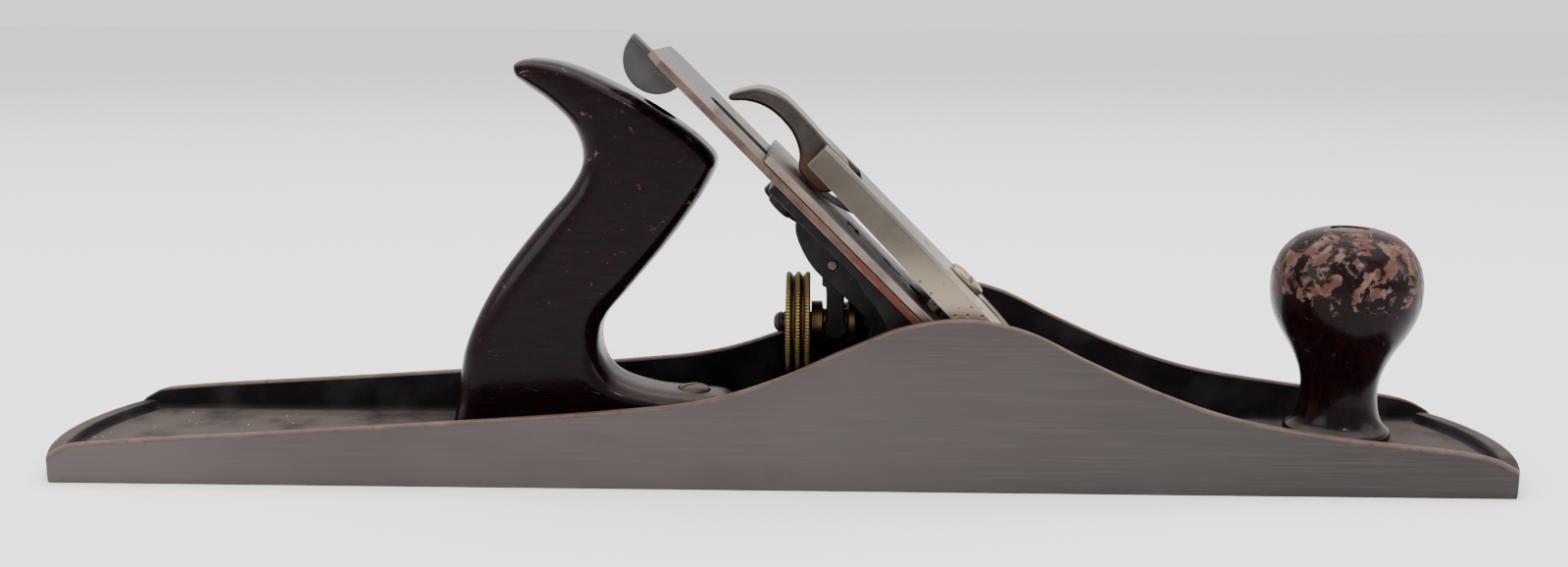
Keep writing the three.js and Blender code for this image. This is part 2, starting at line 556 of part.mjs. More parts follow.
function capSpring() {
  const thick = 0.6;
  const line = new THREE.SplineCurve([[74, 14.4], [86, 14.1], [94, 12.2], [101, 9.6], [108, 7.2],
    [114, 5.8], [122, 5.3]].map(([s, t]) => new THREE.Vector2(s, t))).getPoints(24);
  const upper = line.map((p) => [p.x, p.y + thick]).reverse();
  const leaf = slab(outline([...line.map((p) => [p.x, p.y]), ...upper]), -9, 9);
  return cut(leaf, rodZ(SPRING_RIVET_S, 0, PIN_RADIUS + GAP, 10, 20));
}
put('lever_cap_spring', capSpring(), darkSteel, bed);
put('spring_rivet', join(rodZ(SPRING_RIVET_S, 0, PIN_RADIUS, 13, 17.6),
  rodZ(SPRING_RIVET_S, 0, 3, 12.6, 13.9)), darkSteel, bed);

export default plane;
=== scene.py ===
import json
import math

import bpy
import numpy as np
from mathutils import Matrix, Vector, geometry


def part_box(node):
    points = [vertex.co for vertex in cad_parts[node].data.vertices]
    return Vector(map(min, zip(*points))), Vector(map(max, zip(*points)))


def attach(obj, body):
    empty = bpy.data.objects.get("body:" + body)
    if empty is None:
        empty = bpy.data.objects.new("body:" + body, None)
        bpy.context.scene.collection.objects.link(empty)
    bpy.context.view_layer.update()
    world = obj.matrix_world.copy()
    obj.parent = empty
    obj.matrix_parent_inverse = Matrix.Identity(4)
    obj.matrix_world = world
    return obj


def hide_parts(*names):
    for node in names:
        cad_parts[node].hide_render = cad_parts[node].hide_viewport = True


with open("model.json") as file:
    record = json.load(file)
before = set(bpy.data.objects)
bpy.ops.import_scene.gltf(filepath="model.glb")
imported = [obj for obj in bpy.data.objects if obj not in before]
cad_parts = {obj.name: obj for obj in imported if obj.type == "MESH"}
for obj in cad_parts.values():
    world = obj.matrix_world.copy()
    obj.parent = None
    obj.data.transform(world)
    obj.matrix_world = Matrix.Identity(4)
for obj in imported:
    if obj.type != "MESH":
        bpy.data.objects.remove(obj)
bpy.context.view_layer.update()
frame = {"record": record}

# Shapes below are in millimetres, in the frame's axes: +X toe, +Y far cheek, +Z up.
MM = 0.001
RECORD = frame["record"]
BODY_OF = {node: body for body, nodes in RECORD["behaviour"]["bodies"].items() for node in nodes}


def box_mm(node):
    """Lowest and highest corner of a CAD node, in millimetres."""
    low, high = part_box(node)
    return np.array(low) / MM, np.array(high) / MM


def middle(node):
    low, high = box_mm(node)
    return (low + high) / 2


# ---------------------------------------------------------------- placing matrices
R = math.sqrt(0.5)
BED_X = 90.0


def axes(a, b, c, origin=(0, 0, 0)):
    """The matrix that sends local x, y and z to the directions a, b and c."""
    rows = [[a[i], b[i], c[i], origin[i]] for i in range(3)]
    return Matrix(rows + [[0, 0, 0, 1]])


FLAT = Matrix.Identity(4)
SIDE = axes((1, 0, 0), (0, 0, 1), (0, -1, 0))                    # outline in x, z; thickness -Y
BED = axes((-R, 0, R), (0, -1, 0), (R, 0, R), (BED_X, 0, 0))     # s up the bed, -Y, t out of it
BED_SIDE = axes((-R, 0, R), (R, 0, R), (0, 1, 0), (BED_X, 0, 0))  # outline in s, t; thickness Y


def upright(x, y, z=0.0):
    return Matrix.Translation((x, y, z))


def along_x(x, y, z):
    """Local z runs along +X from a point."""
    return axes((0, 1, 0), (0, 0, 1), (1, 0, 0), (x, y, z))


def along_y(x, y, z):
    """Local z runs along +Y from a point."""
    return axes((0, 0, 1), (1, 0, 0), (0, 1, 0), (x, y, z))


def bed_point(s, t):
    return BED_X + (t - s) * R, (s + t) * R


# ---------------------------------------------------------------- outlines
def between(at, t0, t1, a, b):
    """The value at a place, on the line from a at t0 to b at t1."""
    return ((t1 - at) * a + (at - t0) * b) / (t1 - t0)


def curve(points, steps=6, closed=False):
    """A centripetal curve through points. Coordinates past the second ride along."""
    points = np.array(points, float)
    if closed:
        padded = np.vstack([points[-1], points, points[:2]])
    else:
        padded = np.vstack([2 * points[0] - points[1], points, 2 * points[-1] - points[-2]])
    made = []
    for k in range(len(padded) - 3):
        p = padded[k:k + 4]
        gaps = [np.linalg.norm(p[i + 1, :2] - p[i, :2]) ** 0.5 for i in range(3)]
        t = np.concatenate([[0], np.cumsum(gaps)])
        for step in range(steps):
            at = t[1] + (t[2] - t[1]) * step / steps
            a = [between(at, t[i], t[i + 1], p[i], p[i + 1]) for i in range(3)]
            b = [between(at, t[i], t[i + 2], a[i], a[i + 1]) for i in range(2)]
            made.append(between(at, t[1], t[2], b[0], b[1]))
    if not closed:
        made.append(points[-1])
    return np.array(made)


def smooth(share):
    """An S-shaped ramp from 0 to 1."""
    share = min(max(share, 0), 1)
    return share * share * (3 - 2 * share)


def arc(x, y, radius, start, end, steps=12):
    turns = np.radians(np.linspace(start, end, steps + 1))
    return np.column_stack([x + radius * np.cos(turns), y + radius * np.sin(turns)])


def circle(x, y, radius, steps=40):
    return arc(x, y, radius, 0, 360, steps)[:-1]


def slot_loop(x0, x1, radius, y=0.0, steps=14):
    return np.vstack([arc(x1, y, radius, -90, 90, steps), arc(x0, y, radius, 90, 270, steps)])


def rectangle(x0, x1, y0, y1):
    return np.array([(x0, y0), (x1, y0), (x1, y1), (x0, y1)], float)


STRAIGHT = math.radians(80)       # past this half angle, a corner hardly turns


def eased(points, radius, steps=4):
    """A polygon with its corners turned into arcs. Corners that hardly turn stay."""
    points = np.array(points, float)
    made = []
    for k, corner in enumerate(points):
        arms = [points[k - 1] - corner, points[(k + 1) % len(points)] - corner]
        lengths = [np.linalg.norm(arm) for arm in arms]
        ways = [arm / length for arm, length in zip(arms, lengths)]
        half = 0.5 * math.acos(max(-1.0, min(1.0, ways[0] @ ways[1])))
        if half > STRAIGHT:
            made.append(corner)
            continue
        reach = min(radius / math.tan(half), 0.45 * min(lengths))
        bend = reach * math.tan(half)
        centre = corner + (ways[0] + ways[1]) * (bend / math.sin(half)) / (2 * math.cos(half))
        first, last = (corner + way * reach - centre for way in ways)
        start = math.atan2(first[1], first[0])
        sweep = (math.atan2(last[1], last[0]) - start + math.pi) % (2 * math.pi) - math.pi
        for share in np.linspace(0, 1, steps + 1):
            angle = start + share * sweep
            made.append(centre + bend * np.array([math.cos(angle), math.sin(angle)]))
    return np.array(made)


def area_of(loop):
    x, y = loop[:, 0], loop[:, 1]
    return 0.5 * np.sum(x * np.roll(y, -1) - np.roll(x, -1) * y)


def inside(points, loop):
    """Which of the points lie inside a loop."""
    x, y = points[:, 0], points[:, 1]
    crossings = np.zeros(len(points), int)
    for (x0, y0), (x1, y1) in zip(loop, np.roll(loop, -1, axis=0)):
        spans = (y0 > y) != (y1 > y)
        slope = (x1 - x0) / (y1 - y0) if y1 != y0 else 0.0
        crossings += spans & (x < x0 + slope * (y - y0))
    return crossings % 2 == 1


def fill(loops):
    """Triangles over the first loop less the others, as indices into all their points."""
    spots = np.vstack(loops)
    edges = []
    for loop in loops:
        start = len(edges)
        edges += [(start + k, start + (k + 1) % len(loop)) for k in range(len(loop))]
    _, _, triangles, origins, _, _ = geometry.delaunay_2d_cdt(
        [Vector(spot) for spot in spots], edges, [], 1, 1e-6)
    made = np.array([[origins[k][0] for k in triangle] for triangle in triangles])
    centres = spots[made].mean(axis=1)
    kept = inside(centres, loops[0])
    for hole in loops[1:]:
        kept &= ~inside(centres, hole)
    return made[kept]


def inset(loop, distance):
    """The loop moved to its left, which is inwards when it runs anticlockwise."""
    ahead = np.roll(loop, -1, axis=0) - loop
    ahead /= np.maximum(np.linalg.norm(ahead, axis=1), 1e-9)[:, None]
    left = np.column_stack([-ahead[:, 1], ahead[:, 0]])
    mitre = left + np.roll(left, 1, axis=0)
    mitre /= np.maximum(np.linalg.norm(mitre, axis=1), 1e-9)[:, None]
    stretch = 1 / np.maximum(np.sum(mitre * left, axis=1), 0.5)
    return loop + mitre * (stretch * distance)[:, None]


# ---------------------------------------------------------------- meshes
def piece(name, points, faces, to=FLAT, kinds=None):
    """An object from points in millimetres. kinds gives each face's material index."""
    mesh = bpy.data.meshes.new(name)
    mesh.from_pydata([(to @ Vector(p)) * MM for p in points], [], faces)
    if kinds is not None:
        mesh.polygons.foreach_set("material_index", kinds)
    mesh.update()
    obj = bpy.data.objects.new(name, mesh)
    bpy.context.scene.collection.objects.link(obj)
    return obj


def rim_levels(z0, z1, edge):
    """(inset, height) pairs up the side of a plate with rounded rims."""
    if edge <= 0:
        return [(0, z0), (0, z1)]
    turns = np.radians([0, 30, 60, 90])
    low = [(edge * (1 - math.sin(a)), z0 + edge * (1 - math.cos(a))) for a in turns]
    high = [(d, z1 - (z - z0)) for d, z in reversed(low)]
    return low + high


def plate(name, outer, z0, z1, edge=0.3, to=FLAT, holes=()):
    """A flat plate with holes, its rims rounded off by edge."""
    loops = [np.array(outer, float)] + [np.array(h, float) for h in holes]
    loops = [loop if (area_of(loop) > 0) == (k == 0) else loop[::-1]
             for k, loop in enumerate(loops)]
    points, faces, starts = [], [], []
    levels = rim_levels(z0, z1, edge)
    for loop in loops:
        start, count = len(points), len(loop)
        starts.append(start)
        for distance, z in levels:
            points += [(x, y, z) for x, y in inset(loop, distance)]
        for level in range(len(levels) - 1):
            for k in range(count):
                a = start + level * count + k
                b = start + level * count + (k + 1) % count
                faces.append((a, b, b + count, a + count))
    for level, up in ((0, False), (len(levels) - 1, True)):
        rings = [np.arange(len(loop)) + start + level * len(loop)
                 for loop, start in zip(loops, starts)]
        index = np.concatenate(rings)
        spots = [np.array([points[k][:2] for k in ring]) for ring in rings]
        stacked = np.vstack(spots)
        for triangle in fill(spots):
            order = triangle if (area_of(stacked[triangle]) > 0) == up else triangle[::-1]
            faces.append(tuple(int(index[k]) for k in order))
    return piece(name, points, faces, to)


def slab(name, outer, y0, y1, edge=0.3, bed=False):
    """A plate on edge: its outline in x, z (or s, t on the bed) and its thickness along Y."""
    if bed:
        return plate(name, outer, y0, y1, edge, BED_SIDE)
    return plate(name, outer, -y1, -y0, edge, SIDE)


def rod_profile(radius, low, high, chamfer):
    """A plain rod with both ends chamfered."""
    return [(0, low), (radius - chamfer, low), (radius, low + chamfer),
            (radius, high - chamfer), (radius - chamfer, high), (0, high)]


def turned(name, profile, steps, to, shape=None, closed=False):
    """A turned piece. The profile's (radius, height) points run from pole to pole, or make a
    closed ring. shape(radius, height, angle) may change the radius round the turn."""
    points, faces, rows = [], [], []
    for radius, height in profile:
        if radius < 1e-6:
            rows.append([len(points)])
            points.append((0, 0, height))
            continue
        rows.append(list(range(len(points), len(points) + steps)))
        for k in range(steps):
            angle = 2 * math.pi * k / steps
            r = shape(radius, height, angle) if shape else radius
            points.append((r * math.cos(angle), r * math.sin(angle), height))
    pairs = list(zip(rows, rows[1:])) + ([(rows[-1], rows[0])] if closed else [])
    for low, high in pairs:
        for k in range(steps):
            n = (k + 1) % steps
            if len(low) == 1:
                faces.append((low[0], high[n], high[k]))
            elif len(high) == 1:
                faces.append((low[k], low[n], high[0]))
            else:
                faces.append((low[k], low[n], high[n], high[k]))
    return piece(name, points, faces, to)


def settle(obj):
    """Replaces an object's mesh with its evaluated one."""
    bpy.context.view_layer.update()
    graph = bpy.context.evaluated_depsgraph_get()
    made = bpy.data.meshes.new_from_object(obj.evaluated_get(graph))
    old = obj.data
    obj.modifiers.clear()
    obj.data = made
    bpy.data.meshes.remove(old)
    return obj


def combine(obj, tools, operation):
    """Joins ("UNION"), cuts ("DIFFERENCE") or keeps what is shared ("INTERSECT") with each
    tool, and removes the tools."""
    for tool in tools:
        step = obj.modifiers.new("combine", "BOOLEAN")
        step.operation = operation
        step.solver = "MANIFOLD"
        step.object = tool
    settle(obj)
    for tool in tools:
        mesh = tool.data
        bpy.data.objects.remove(tool)
        bpy.data.meshes.remove(mesh)
    return obj


def cut(obj, *tools):
    return combine(obj, tools, "DIFFERENCE")


def join(obj, *tools):
    return combine(obj, tools, "UNION")


def drill(x, y, radius, z0, z1, to=FLAT, steps=32):
    """A plain cylinder to cut with."""
    return plate("drill", circle(x, y, radius, steps), z0, z1, 0, to)


def block(x0, x1, y0, y1, z0, z1, to=FLAT):
    """A plain box to cut with."""
    return plate("block", rectangle(x0, x1, y0, y1), z0, z1, 0, to)


def ease(obj, width):
    """Rounds what sharp edges are left."""
    bevel = obj.modifiers.new("ease", "BEVEL")
    bevel.width = width * MM
    bevel.segments = 2
    bevel.limit_method = "ANGLE"
    bevel.angle_limit = math.radians(50)
    bevel.use_clamp_overlap = False
    bevel.miter_outer = "MITER_ARC"
    return settle(obj)


def show(obj, node, paint=None, sharp=38):
    """Finishes a piece that stands for a CAD node: shading, material and body. Without a
    paint, it keeps the materials that it has."""
    mesh = obj.data
    mesh.shade_smooth()
    mesh.set_sharp_from_angle(angle=math.radians(sharp))
    weighted = obj.modifiers.new("flat faces", "WEIGHTED_NORMAL")
    weighted.keep_sharp = True
    if paint:
        mesh.materials.clear()
        mesh.materials.append(paint)
    obj.name = node + "_fine"
    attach(obj, BODY_OF[node])
    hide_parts(node)
    return obj


# ---------------------------------------------------------------- materials
class Paint:
    """A material's nodes, with one short method for each kind used here."""

    def __init__(self, name, metallic, roughness, **sockets):
        self.material = bpy.data.materials.new(name)
        self.material.use_nodes = True
        self.nodes = self.material.node_tree.nodes
        self.links = self.material.node_tree.links
        self.shader = self.nodes["Principled BSDF"]
        self.shader.inputs["Metallic"].default_value = metallic
        self.shader.inputs["Roughness"].default_value = roughness
        for socket, value in sockets.items():
            self.shader.inputs[socket.replace("_", " ")].default_value = value
        self.place = self.nodes.new("ShaderNodeTexCoord").outputs["Object"]

    def put(self, value, socket):
        if isinstance(value, bpy.types.NodeSocket):
            self.links.new(value, socket)
        elif isinstance(value, tuple) and len(value) == 3 and socket.type == "RGBA":
            socket.default_value = (*value, 1)
        else:
            socket.default_value = value

    def node(self, kind, inputs, **settings):
        """A new node with its settings and inputs filled in."""
        made = self.nodes.new("ShaderNode" + kind)
        for name, value in settings.items():
            setattr(made, name, value)
        for socket, value in inputs.items():
            self.put(value, made.inputs[socket])
        return made

    def math(self, operation, a, b=0.0):
        return self.node("Math", {0: a, 1: b}, operation=operation).outputs[0]

    def times(self, a, b):
        return self.math("MULTIPLY", a, b)

    def stretched(self, stretch, turn):
        turn = [math.radians(a) for a in turn]
        values = {"Vector": self.place, "Rotation": turn, "Scale": stretch}
        return self.node("Mapping", values, vector_type="TEXTURE").outputs[0]

    def noise(self, size, detail=4.0, rough=0.55, stretch=(1, 1, 1), turn=(0, 0, 0), bend=0.0):
        """Noise whose blotches are about size millimetres across, times stretch."""
        values = {"Vector": self.stretched(stretch, turn), "Scale": 1 / (size * MM),
                  "Detail": detail, "Roughness": rough, "Distortion": bend}
        return self.node("TexNoise", values).outputs["Fac"]

    def cells(self, size, stretch=(1, 1, 1), turn=(0, 0, 0)):
        """Distance from scattered points about size millimetres apart."""
        values = {"Vector": self.stretched(stretch, turn), "Scale": 1 / (size * MM)}
        return self.node("TexVoronoi", values).outputs["Distance"]

    def mask(self, value, low, high):
        """0 at low, 1 at high, smooth between."""
        values = {"Value": value, "From Min": low, "From Max": high}
        return self.node("MapRange", values, interpolation_type="SMOOTHSTEP").outputs["Result"]

    def span(self, factor, low, high):
        """A number from low to high as factor goes from 0 to 1."""
        values = {"Value": factor, "To Min": low, "To Max": high}
        return self.node("MapRange", values).outputs["Result"]

    def mix(self, factor, a, b):
        return self.node("Mix", {"Factor": factor, 6: a, 7: b}, data_type="RGBA").outputs[2]

    def ground(self, mask, a, b):
        """Sets the colour: a where the mask is 0, b where it is 1."""
        self.tone = self.mix(mask, a, b)
        self.put(self.tone, self.shader.inputs["Base Color"])

    def lay(self, color, mask, amount=None):
        """Lays another colour over it, as far as the mask and the amount say."""
        if amount is not None:
            mask = self.times(mask, amount)
        self.ground(mask, self.tone, color)

    def axis(self, index):
        """A coordinate in the frame, in millimetres."""
        return self.times(self.node("SeparateXYZ", {0: self.place}).outputs[index], 1 / MM)

    def normal(self):
        return self.node("NewGeometry", {}).outputs["Normal"]

    def up(self):
        """How far the surface faces up, as a mask."""
        return self.node("SeparateXYZ", {0: self.normal()}).outputs[2]

    def edges(self, radius):
        """1 on edges sharper than the radius, in millimetres."""
        bevel = self.node("Bevel", {"Radius": radius * MM}, samples=4)
        values = {0: bevel.outputs[0], 1: self.normal()}
        dot = self.node("VectorMath", values, operation="DOT_PRODUCT")
        return self.mask(dot.outputs["Value"], 0.995, 0.93)

    def rough(self, value):
        self.put(value, self.shader.inputs["Roughness"])

    def bump(self, *layers):
        """Each layer is (height, depth in millimetres)."""
        normal = None
        for height, depth in layers:
            values = {"Strength": 1.0, "Distance": depth * MM, "Height": height}
            if normal is not None:
                values["Normal"] = normal
            normal = self.node("Bump", values).outputs[0]
        self.put(normal, self.shader.inputs["Normal"])


def rust_spots(paint, size, low, high):
    return paint.mask(paint.noise(size, 6, 0.65), low, high)


def ground_iron():
    """Ground cast iron: fine marks along its length, and painted shade that darkens it towards the toe."""
    p = Paint("ground_iron", 0.75, 0.42)
    broad = p.noise(60, 4, 0.5, stretch=(1.6, 1, 1))
    streak = p.noise(0.9, 4, 0.6, stretch=(34, 1, 0.5))
    p.ground(p.mask(broad, 0.32, 0.7), (0.056, 0.047, 0.045), (0.072, 0.062, 0.059))
    # painted shade: the toe mask darkens the cheek towards the toe, where less light falls on it
    toe = p.mask(p.axis(0), -120, 230)
    p.lay((0.026, 0.021, 0.021), p.span(toe, 0, 0.8))
    p.lay((0.095, 0.084, 0.080), p.span(p.mask(streak, 0.42, 0.75), 0, 0.25))
    blot = p.mask(p.noise(11, 5, 0.6, stretch=(1.5, 1, 1)), 0.60, 0.72)
    p.lay((0.050, 0.040, 0.038), blot, 0.3)
    spots = rust_spots(p, 3.2, 0.69, 0.74)
    p.lay((0.10, 0.04, 0.025), spots, 0.5)
    p.rough(p.span(streak, 0.34, 0.55))
    p.bump((streak, 0.02), (p.noise(0.5, 3), 0.006))
    return p.material


def worn_rim():
    """The cheeks' top edges: bare metal gone tan, with brown spots."""
    p = Paint("worn_rim", 0.25, 0.5, Specular_IOR_Level=0.3)
    p.ground(p.mask(p.noise(12, 5), 0.34, 0.66), (0.078, 0.049, 0.037), (0.052, 0.031, 0.023))
    spots = rust_spots(p, 4, 0.56, 0.66)
    p.lay((0.036, 0.015, 0.011), spots, 0.6)
    p.rough(p.span(p.noise(3), 0.4, 0.65))
    p.bump((p.noise(1.2, 4), 0.04))
    return p.material


def japan_inside():
    """Black japanning on the casting: dark on the walls, dusty on the floor."""
    p = Paint("japan_inside", 0.0, 0.38, Specular_IOR_Level=0.06)
    cast = p.noise(2.2, 4, 0.6)
    p.ground(p.mask(p.noise(18), 0.4, 0.7), (0.0060, 0.0048, 0.0055), (0.0175, 0.0148, 0.0158))
    flat = p.mask(p.up(), 0.55, 0.95)
    ends = p.mask(p.math("ABSOLUTE", p.axis(0)), 85, 150)
    dust = p.times(flat, p.span(ends, 0.12, 0.9))
    film = p.times(dust, p.mask(p.noise(24, 6, 0.62), 0.24, 0.56))
    p.lay((0.064, 0.053, 0.047), film)
    specks = p.times(p.mask(p.cells(3.4), 0.12, 0.05), p.mask(p.noise(16), 0.50, 0.58))
    crowd = p.times(specks, p.mask(p.axis(0), -110, -140))
    p.lay((0.42, 0.40, 0.36), crowd, flat)
    p.rough(p.span(dust, 0.32, 0.8))
    p.bump((cast, 0.16), (p.noise(0.5, 2), 0.03))
    return p.material


def japan_frog():
    """Black japanning on the frog, rubbed through to grey iron on its edges."""
    p = Paint("japan_frog", 0.0, 0.4, Specular_IOR_Level=0.12)
    worn = p.times(p.edges(0.6), p.mask(p.noise(5, 5), 0.50, 0.64))
    p.ground(p.mask(p.noise(9, 5), 0.42, 0.7), (0.0042, 0.0036, 0.0036), (0.0120, 0.0098, 0.0094))
    p.lay((0.056, 0.047, 0.044), worn)
    p.put(p.times(worn, 0.6), p.shader.inputs["Metallic"])
    p.rough(p.span(p.noise(3), 0.32, 0.58))
    p.bump((p.noise(1.6, 4, 0.6), 0.1))
    return p.material


def rosewood(name, grain, patches, low, high):
    """Dark varnished wood. grain stretches its figure, and bare patches crowd between two heights."""
    p = Paint(name, 0.0, 0.3, Specular_IOR_Level=0.06, Coat_Weight=0.05, Coat_Roughness=0.08)
    figure = p.noise(1.3, 6, 0.62, stretch=grain, bend=0.4)
    pores = p.noise(0.5, 3, 0.7, stretch=grain)
    p.ground(p.mask(figure, 0.30, 0.80), (0.0020, 0.0010, 0.0012), (0.0095, 0.0018, 0.0019))
    p.lay((0.002, 0.001, 0.001), p.mask(pores, 0.62, 0.72), 0.5)
    worn = p.mask(p.axis(2), low, high)
    blotch = p.noise(6, 6, 0.66, bend=0.6)
    chip = p.mask(p.math("ADD", blotch, p.times(worn, patches)), 0.67, 0.71)
    fleck = p.mask(p.noise(2.1, 4, 0.7, bend=1.0), 0.655, 0.69)
    fleck = p.times(fleck, p.mask(p.noise(11), 0.44, 0.54))
    bare = p.math("MAXIMUM", chip, p.times(fleck, 0.75))
    brown = p.mix(p.mask(p.noise(3.5, 5), 0.4, 0.65), (0.070, 0.031, 0.023), (0.130, 0.078, 0.060))
    p.lay(brown, bare, 0.85)
    scratch = p.mask(p.cells(7, stretch=(6, 6, 0.3), turn=(0, 14, 0)), 0.06, 0.02)
    scratch = p.times(scratch, p.mask(p.noise(13), 0.50, 0.56))
    p.lay((0.14, 0.10, 0.085), scratch, 0.5)
    dust = p.times(p.mask(p.up(), 0.5, 0.9), p.mask(p.axis(2), 34, 24))
    p.lay((0.062, 0.047, 0.044), dust, 0.75)
    p.rough(p.span(bare, 0.24, 0.6))
    low_spots = p.math("SUBTRACT", 1.0, p.math("MAXIMUM", bare, scratch))
    p.bump((low_spots, 0.12), (p.noise(6, 4), 0.12), (pores, 0.02))
    return p.material


def old_steel(name, light, dark, rust=0.35, grain=(1, 1, 1), turn=(0, 0, 0), metallic=0.85):
    """Ground steel gone brown. grain stretches its brush marks."""
    p = Paint(name, metallic, 0.42)
    stain = p.noise(13, 6, 0.62, bend=0.5)
    brush = p.noise(0.9, 4, 0.6, stretch=grain, turn=turn)
    p.ground(p.mask(stain, 0.36, 0.66), light, dark)
    p.lay(tuple(1.3 * c for c in light), p.mask(brush, 0.5, 0.75), 0.25)
    spots = rust_spots(p, 6, 0.6, 0.72)
    p.lay((0.085, 0.030, 0.015), spots, rust)
    edge = p.edges(0.35)
    p.lay(tuple(1.5 * c for c in light), edge, 0.35)
    p.rough(p.span(stain, 0.3, 0.6))
    p.bump((brush, 0.02), (p.noise(1.5, 4), 0.03))
    return p.material


def stained_iron():
    """The plane iron: warm grey, with rust along its near edge towards the mouth."""
    p = Paint("stained_iron", 0.8, 0.42)
    turn = (0, 45, 0)
    stain = p.noise(11, 6, 0.62, bend=0.4)
    brush = p.noise(1.0, 4, 0.6, stretch=(26, 0.6, 0.6), turn=turn)
    p.ground(p.mask(stain, 0.36, 0.66), (0.108, 0.075, 0.058), (0.056, 0.037, 0.029))
    p.lay((0.21, 0.17, 0.145), p.mask(brush, 0.5, 0.74), 0.35)
    low = p.mask(p.axis(2), 105, 62)
    streaks = p.noise(3.2, 5, 0.6, stretch=(7, 1, 1), turn=turn)
    rust = p.times(low, p.mask(streaks, 0.47, 0.62))
    p.lay((0.095, 0.024, 0.013), rust, 0.8)
    p.lay((0.24, 0.205, 0.18), p.edges(0.3), 0.3)
    p.rough(p.span(rust, 0.38, 0.72))
    p.bump((brush, 0.02), (rust, 0.04), (p.noise(1.3, 4), 0.02))
    return p.material


def worn_nickel():
    """The lever cap: warm nickel, pitted and bright towards its lower end, rust at the top."""
    p = Paint("worn_nickel", 0.85, 0.34)
    cloud = p.noise(17, 5, 0.6)
    p.ground(p.mask(cloud, 0.35, 0.68), (0.106, 0.093, 0.079), (0.077, 0.066, 0.055))
    low = p.mask(p.axis(2), 76, 54)
    p.lay((0.33, 0.265, 0.195), low, 0.85)
    pits = p.times(p.mask(p.cells(2.1), 0.26, 0.16), p.mask(p.noise(9, 5), 0.46, 0.56))
    pits = p.times(pits, p.mask(p.axis(2), 90, 66))
    p.lay((0.050, 0.032, 0.022), pits, 0.8)
    top = p.times(p.mask(p.axis(2), 95, 99), p.mask(p.noise(2.5, 5), 0.50, 0.60))
    p.lay((0.11, 0.055, 0.030), top, 0.6)
    p.lay((0.25, 0.225, 0.195), p.edges(0.6), 0.5)
    p.rough(p.span(cloud, 0.26, 0.48))
    p.bump((p.math("SUBTRACT", 1.0, pits), 0.12), (p.noise(1.1, 3), 0.012))
    return p.material


def hook_steel():
    """The cam lever: dark grey-brown with rust where it meets the cap."""
    p = Paint("hook_steel", 0.8, 0.38)
    cloud = p.noise(12, 5, 0.6)
    p.ground(p.mask(cloud, 0.36, 0.66), (0.042, 0.034, 0.029), (0.024, 0.019, 0.016))
    root = p.times(p.mask(p.axis(2), 101, 94), p.mask(p.noise(3, 6, 0.65), 0.38, 0.52))
    p.lay((0.13, 0.058, 0.028), root, 0.75)
    p.lay((0.15, 0.125, 0.11), p.edges(0.6), 0.5)
    p.rough(p.span(root, 0.3, 0.7))
    p.bump((root, 0.05), (p.noise(1.2, 4), 0.02))
    return p.material


def old_brass(name, bright, dark, axis_z=None, crown=None):
    """Tarnished brass, rubbed bright on its edges, and past a radius from an axis along X."""
    p = Paint(name, 0.95, 0.36)
    cloud = p.noise(5, 6, 0.6)
    p.ground(p.mask(cloud, 0.38, 0.66), dark, tuple(0.55 * c for c in dark))
    rubbed = p.times(p.edges(0.35), p.span(p.noise(2.5), 0.3, 1.0))
    if crown is not None:
        y = p.axis(1)
        z = p.math("SUBTRACT", p.axis(2), axis_z)
        far = p.math("SQRT", p.math("ADD", p.math("POWER", y, 2.0), p.math("POWER", z, 2.0)))
        rubbed = p.math("MAXIMUM", rubbed, p.times(p.mask(far, crown, crown + 0.4), 0.6))
    p.lay(bright, rubbed)
    p.rough(p.span(cloud, 0.28, 0.52))
    p.bump((p.noise(1.5, 4), 0.02))
    return p.material


IRON_SIDE = ground_iron()
RIM = worn_rim()
JAPAN = japan_inside()
FROG_JAPAN = japan_frog()
TOTE_WOOD = rosewood("tote_wood", (9, 9, 1.0), 0.05, 20, 120)
KNOB_WOOD = rosewood("knob_wood", (1.2, 1.2, 8), 0.185, 44, 60)
IRON_STEEL = stained_iron()
BREAKER_STEEL = old_steel("breaker_steel", (0.19, 0.150, 0.128), (0.120, 0.090, 0.076), 0.3,
                          (26, 0.6, 0.6), (0, 45, 0))
DARK_STEEL = old_steel("dark_steel", (0.065, 0.054, 0.049), (0.034, 0.028, 0.025), 0.5)
RUSTY_STEEL = old_steel("rusty_steel", (0.070, 0.040, 0.030), (0.042, 0.020, 0.015), 0.8, metallic=0.3)
TAB_STEEL = old_steel("tab_steel", (0.062, 0.058, 0.058), (0.044, 0.041, 0.041), 0.1)
NICKEL = worn_nickel()
HOOK_STEEL = hook_steel()
WHEEL_AXIS_Z = middle("adjuster_stud")[2]
WHEEL_BRASS = old_brass("wheel_brass", (0.34, 0.235, 0.10), (0.055, 0.034, 0.015), WHEEL_AXIS_Z, 15.35)
PLAIN_BRASS = old_brass("plain_brass", (0.36, 0.26, 0.12), (0.12, 0.078, 0.032))


# ---------------------------------------------------------------- sole casting
HALF_LENGTH, HALF_WIDTH = box_mm("body")[1][:2]
END_BOW = 9.5
CORNER_X = HALF_LENGTH - END_BOW
END_RADIUS = (HALF_WIDTH ** 2 + END_BOW ** 2) / (2 * END_BOW)
CHEEK = 3.4
FLOOR = 4.0
BEAD_TOP = 7.5
BEAD_WIDTH = 5.0
FILLET = 2.6
RIM_EDGE = 0.9
RIM_PART = 0.26                   # the middle of the rounding, in and down
CHEEK_TOP = curve([
    (-CORNER_X, 8), (-212, 11.4), (-203, 12.6), (-130, 17.6), (-50, 23.6), (-22, 27),
    (0, 33.8), (20, 42.8), (38, 50), (56, 52.2), (73, 49), (92, 40), (112, 31.2),
    (136, 23.2), (170, 17.4), (204, 13.4), (212, 11.4), (CORNER_X, 8)], 10)
GROUND, BARE, BLACK = 0, 1, 2
KNOB_X = 177.0
TOE_SCREW_X = middle("tote_toe_screw")[0]
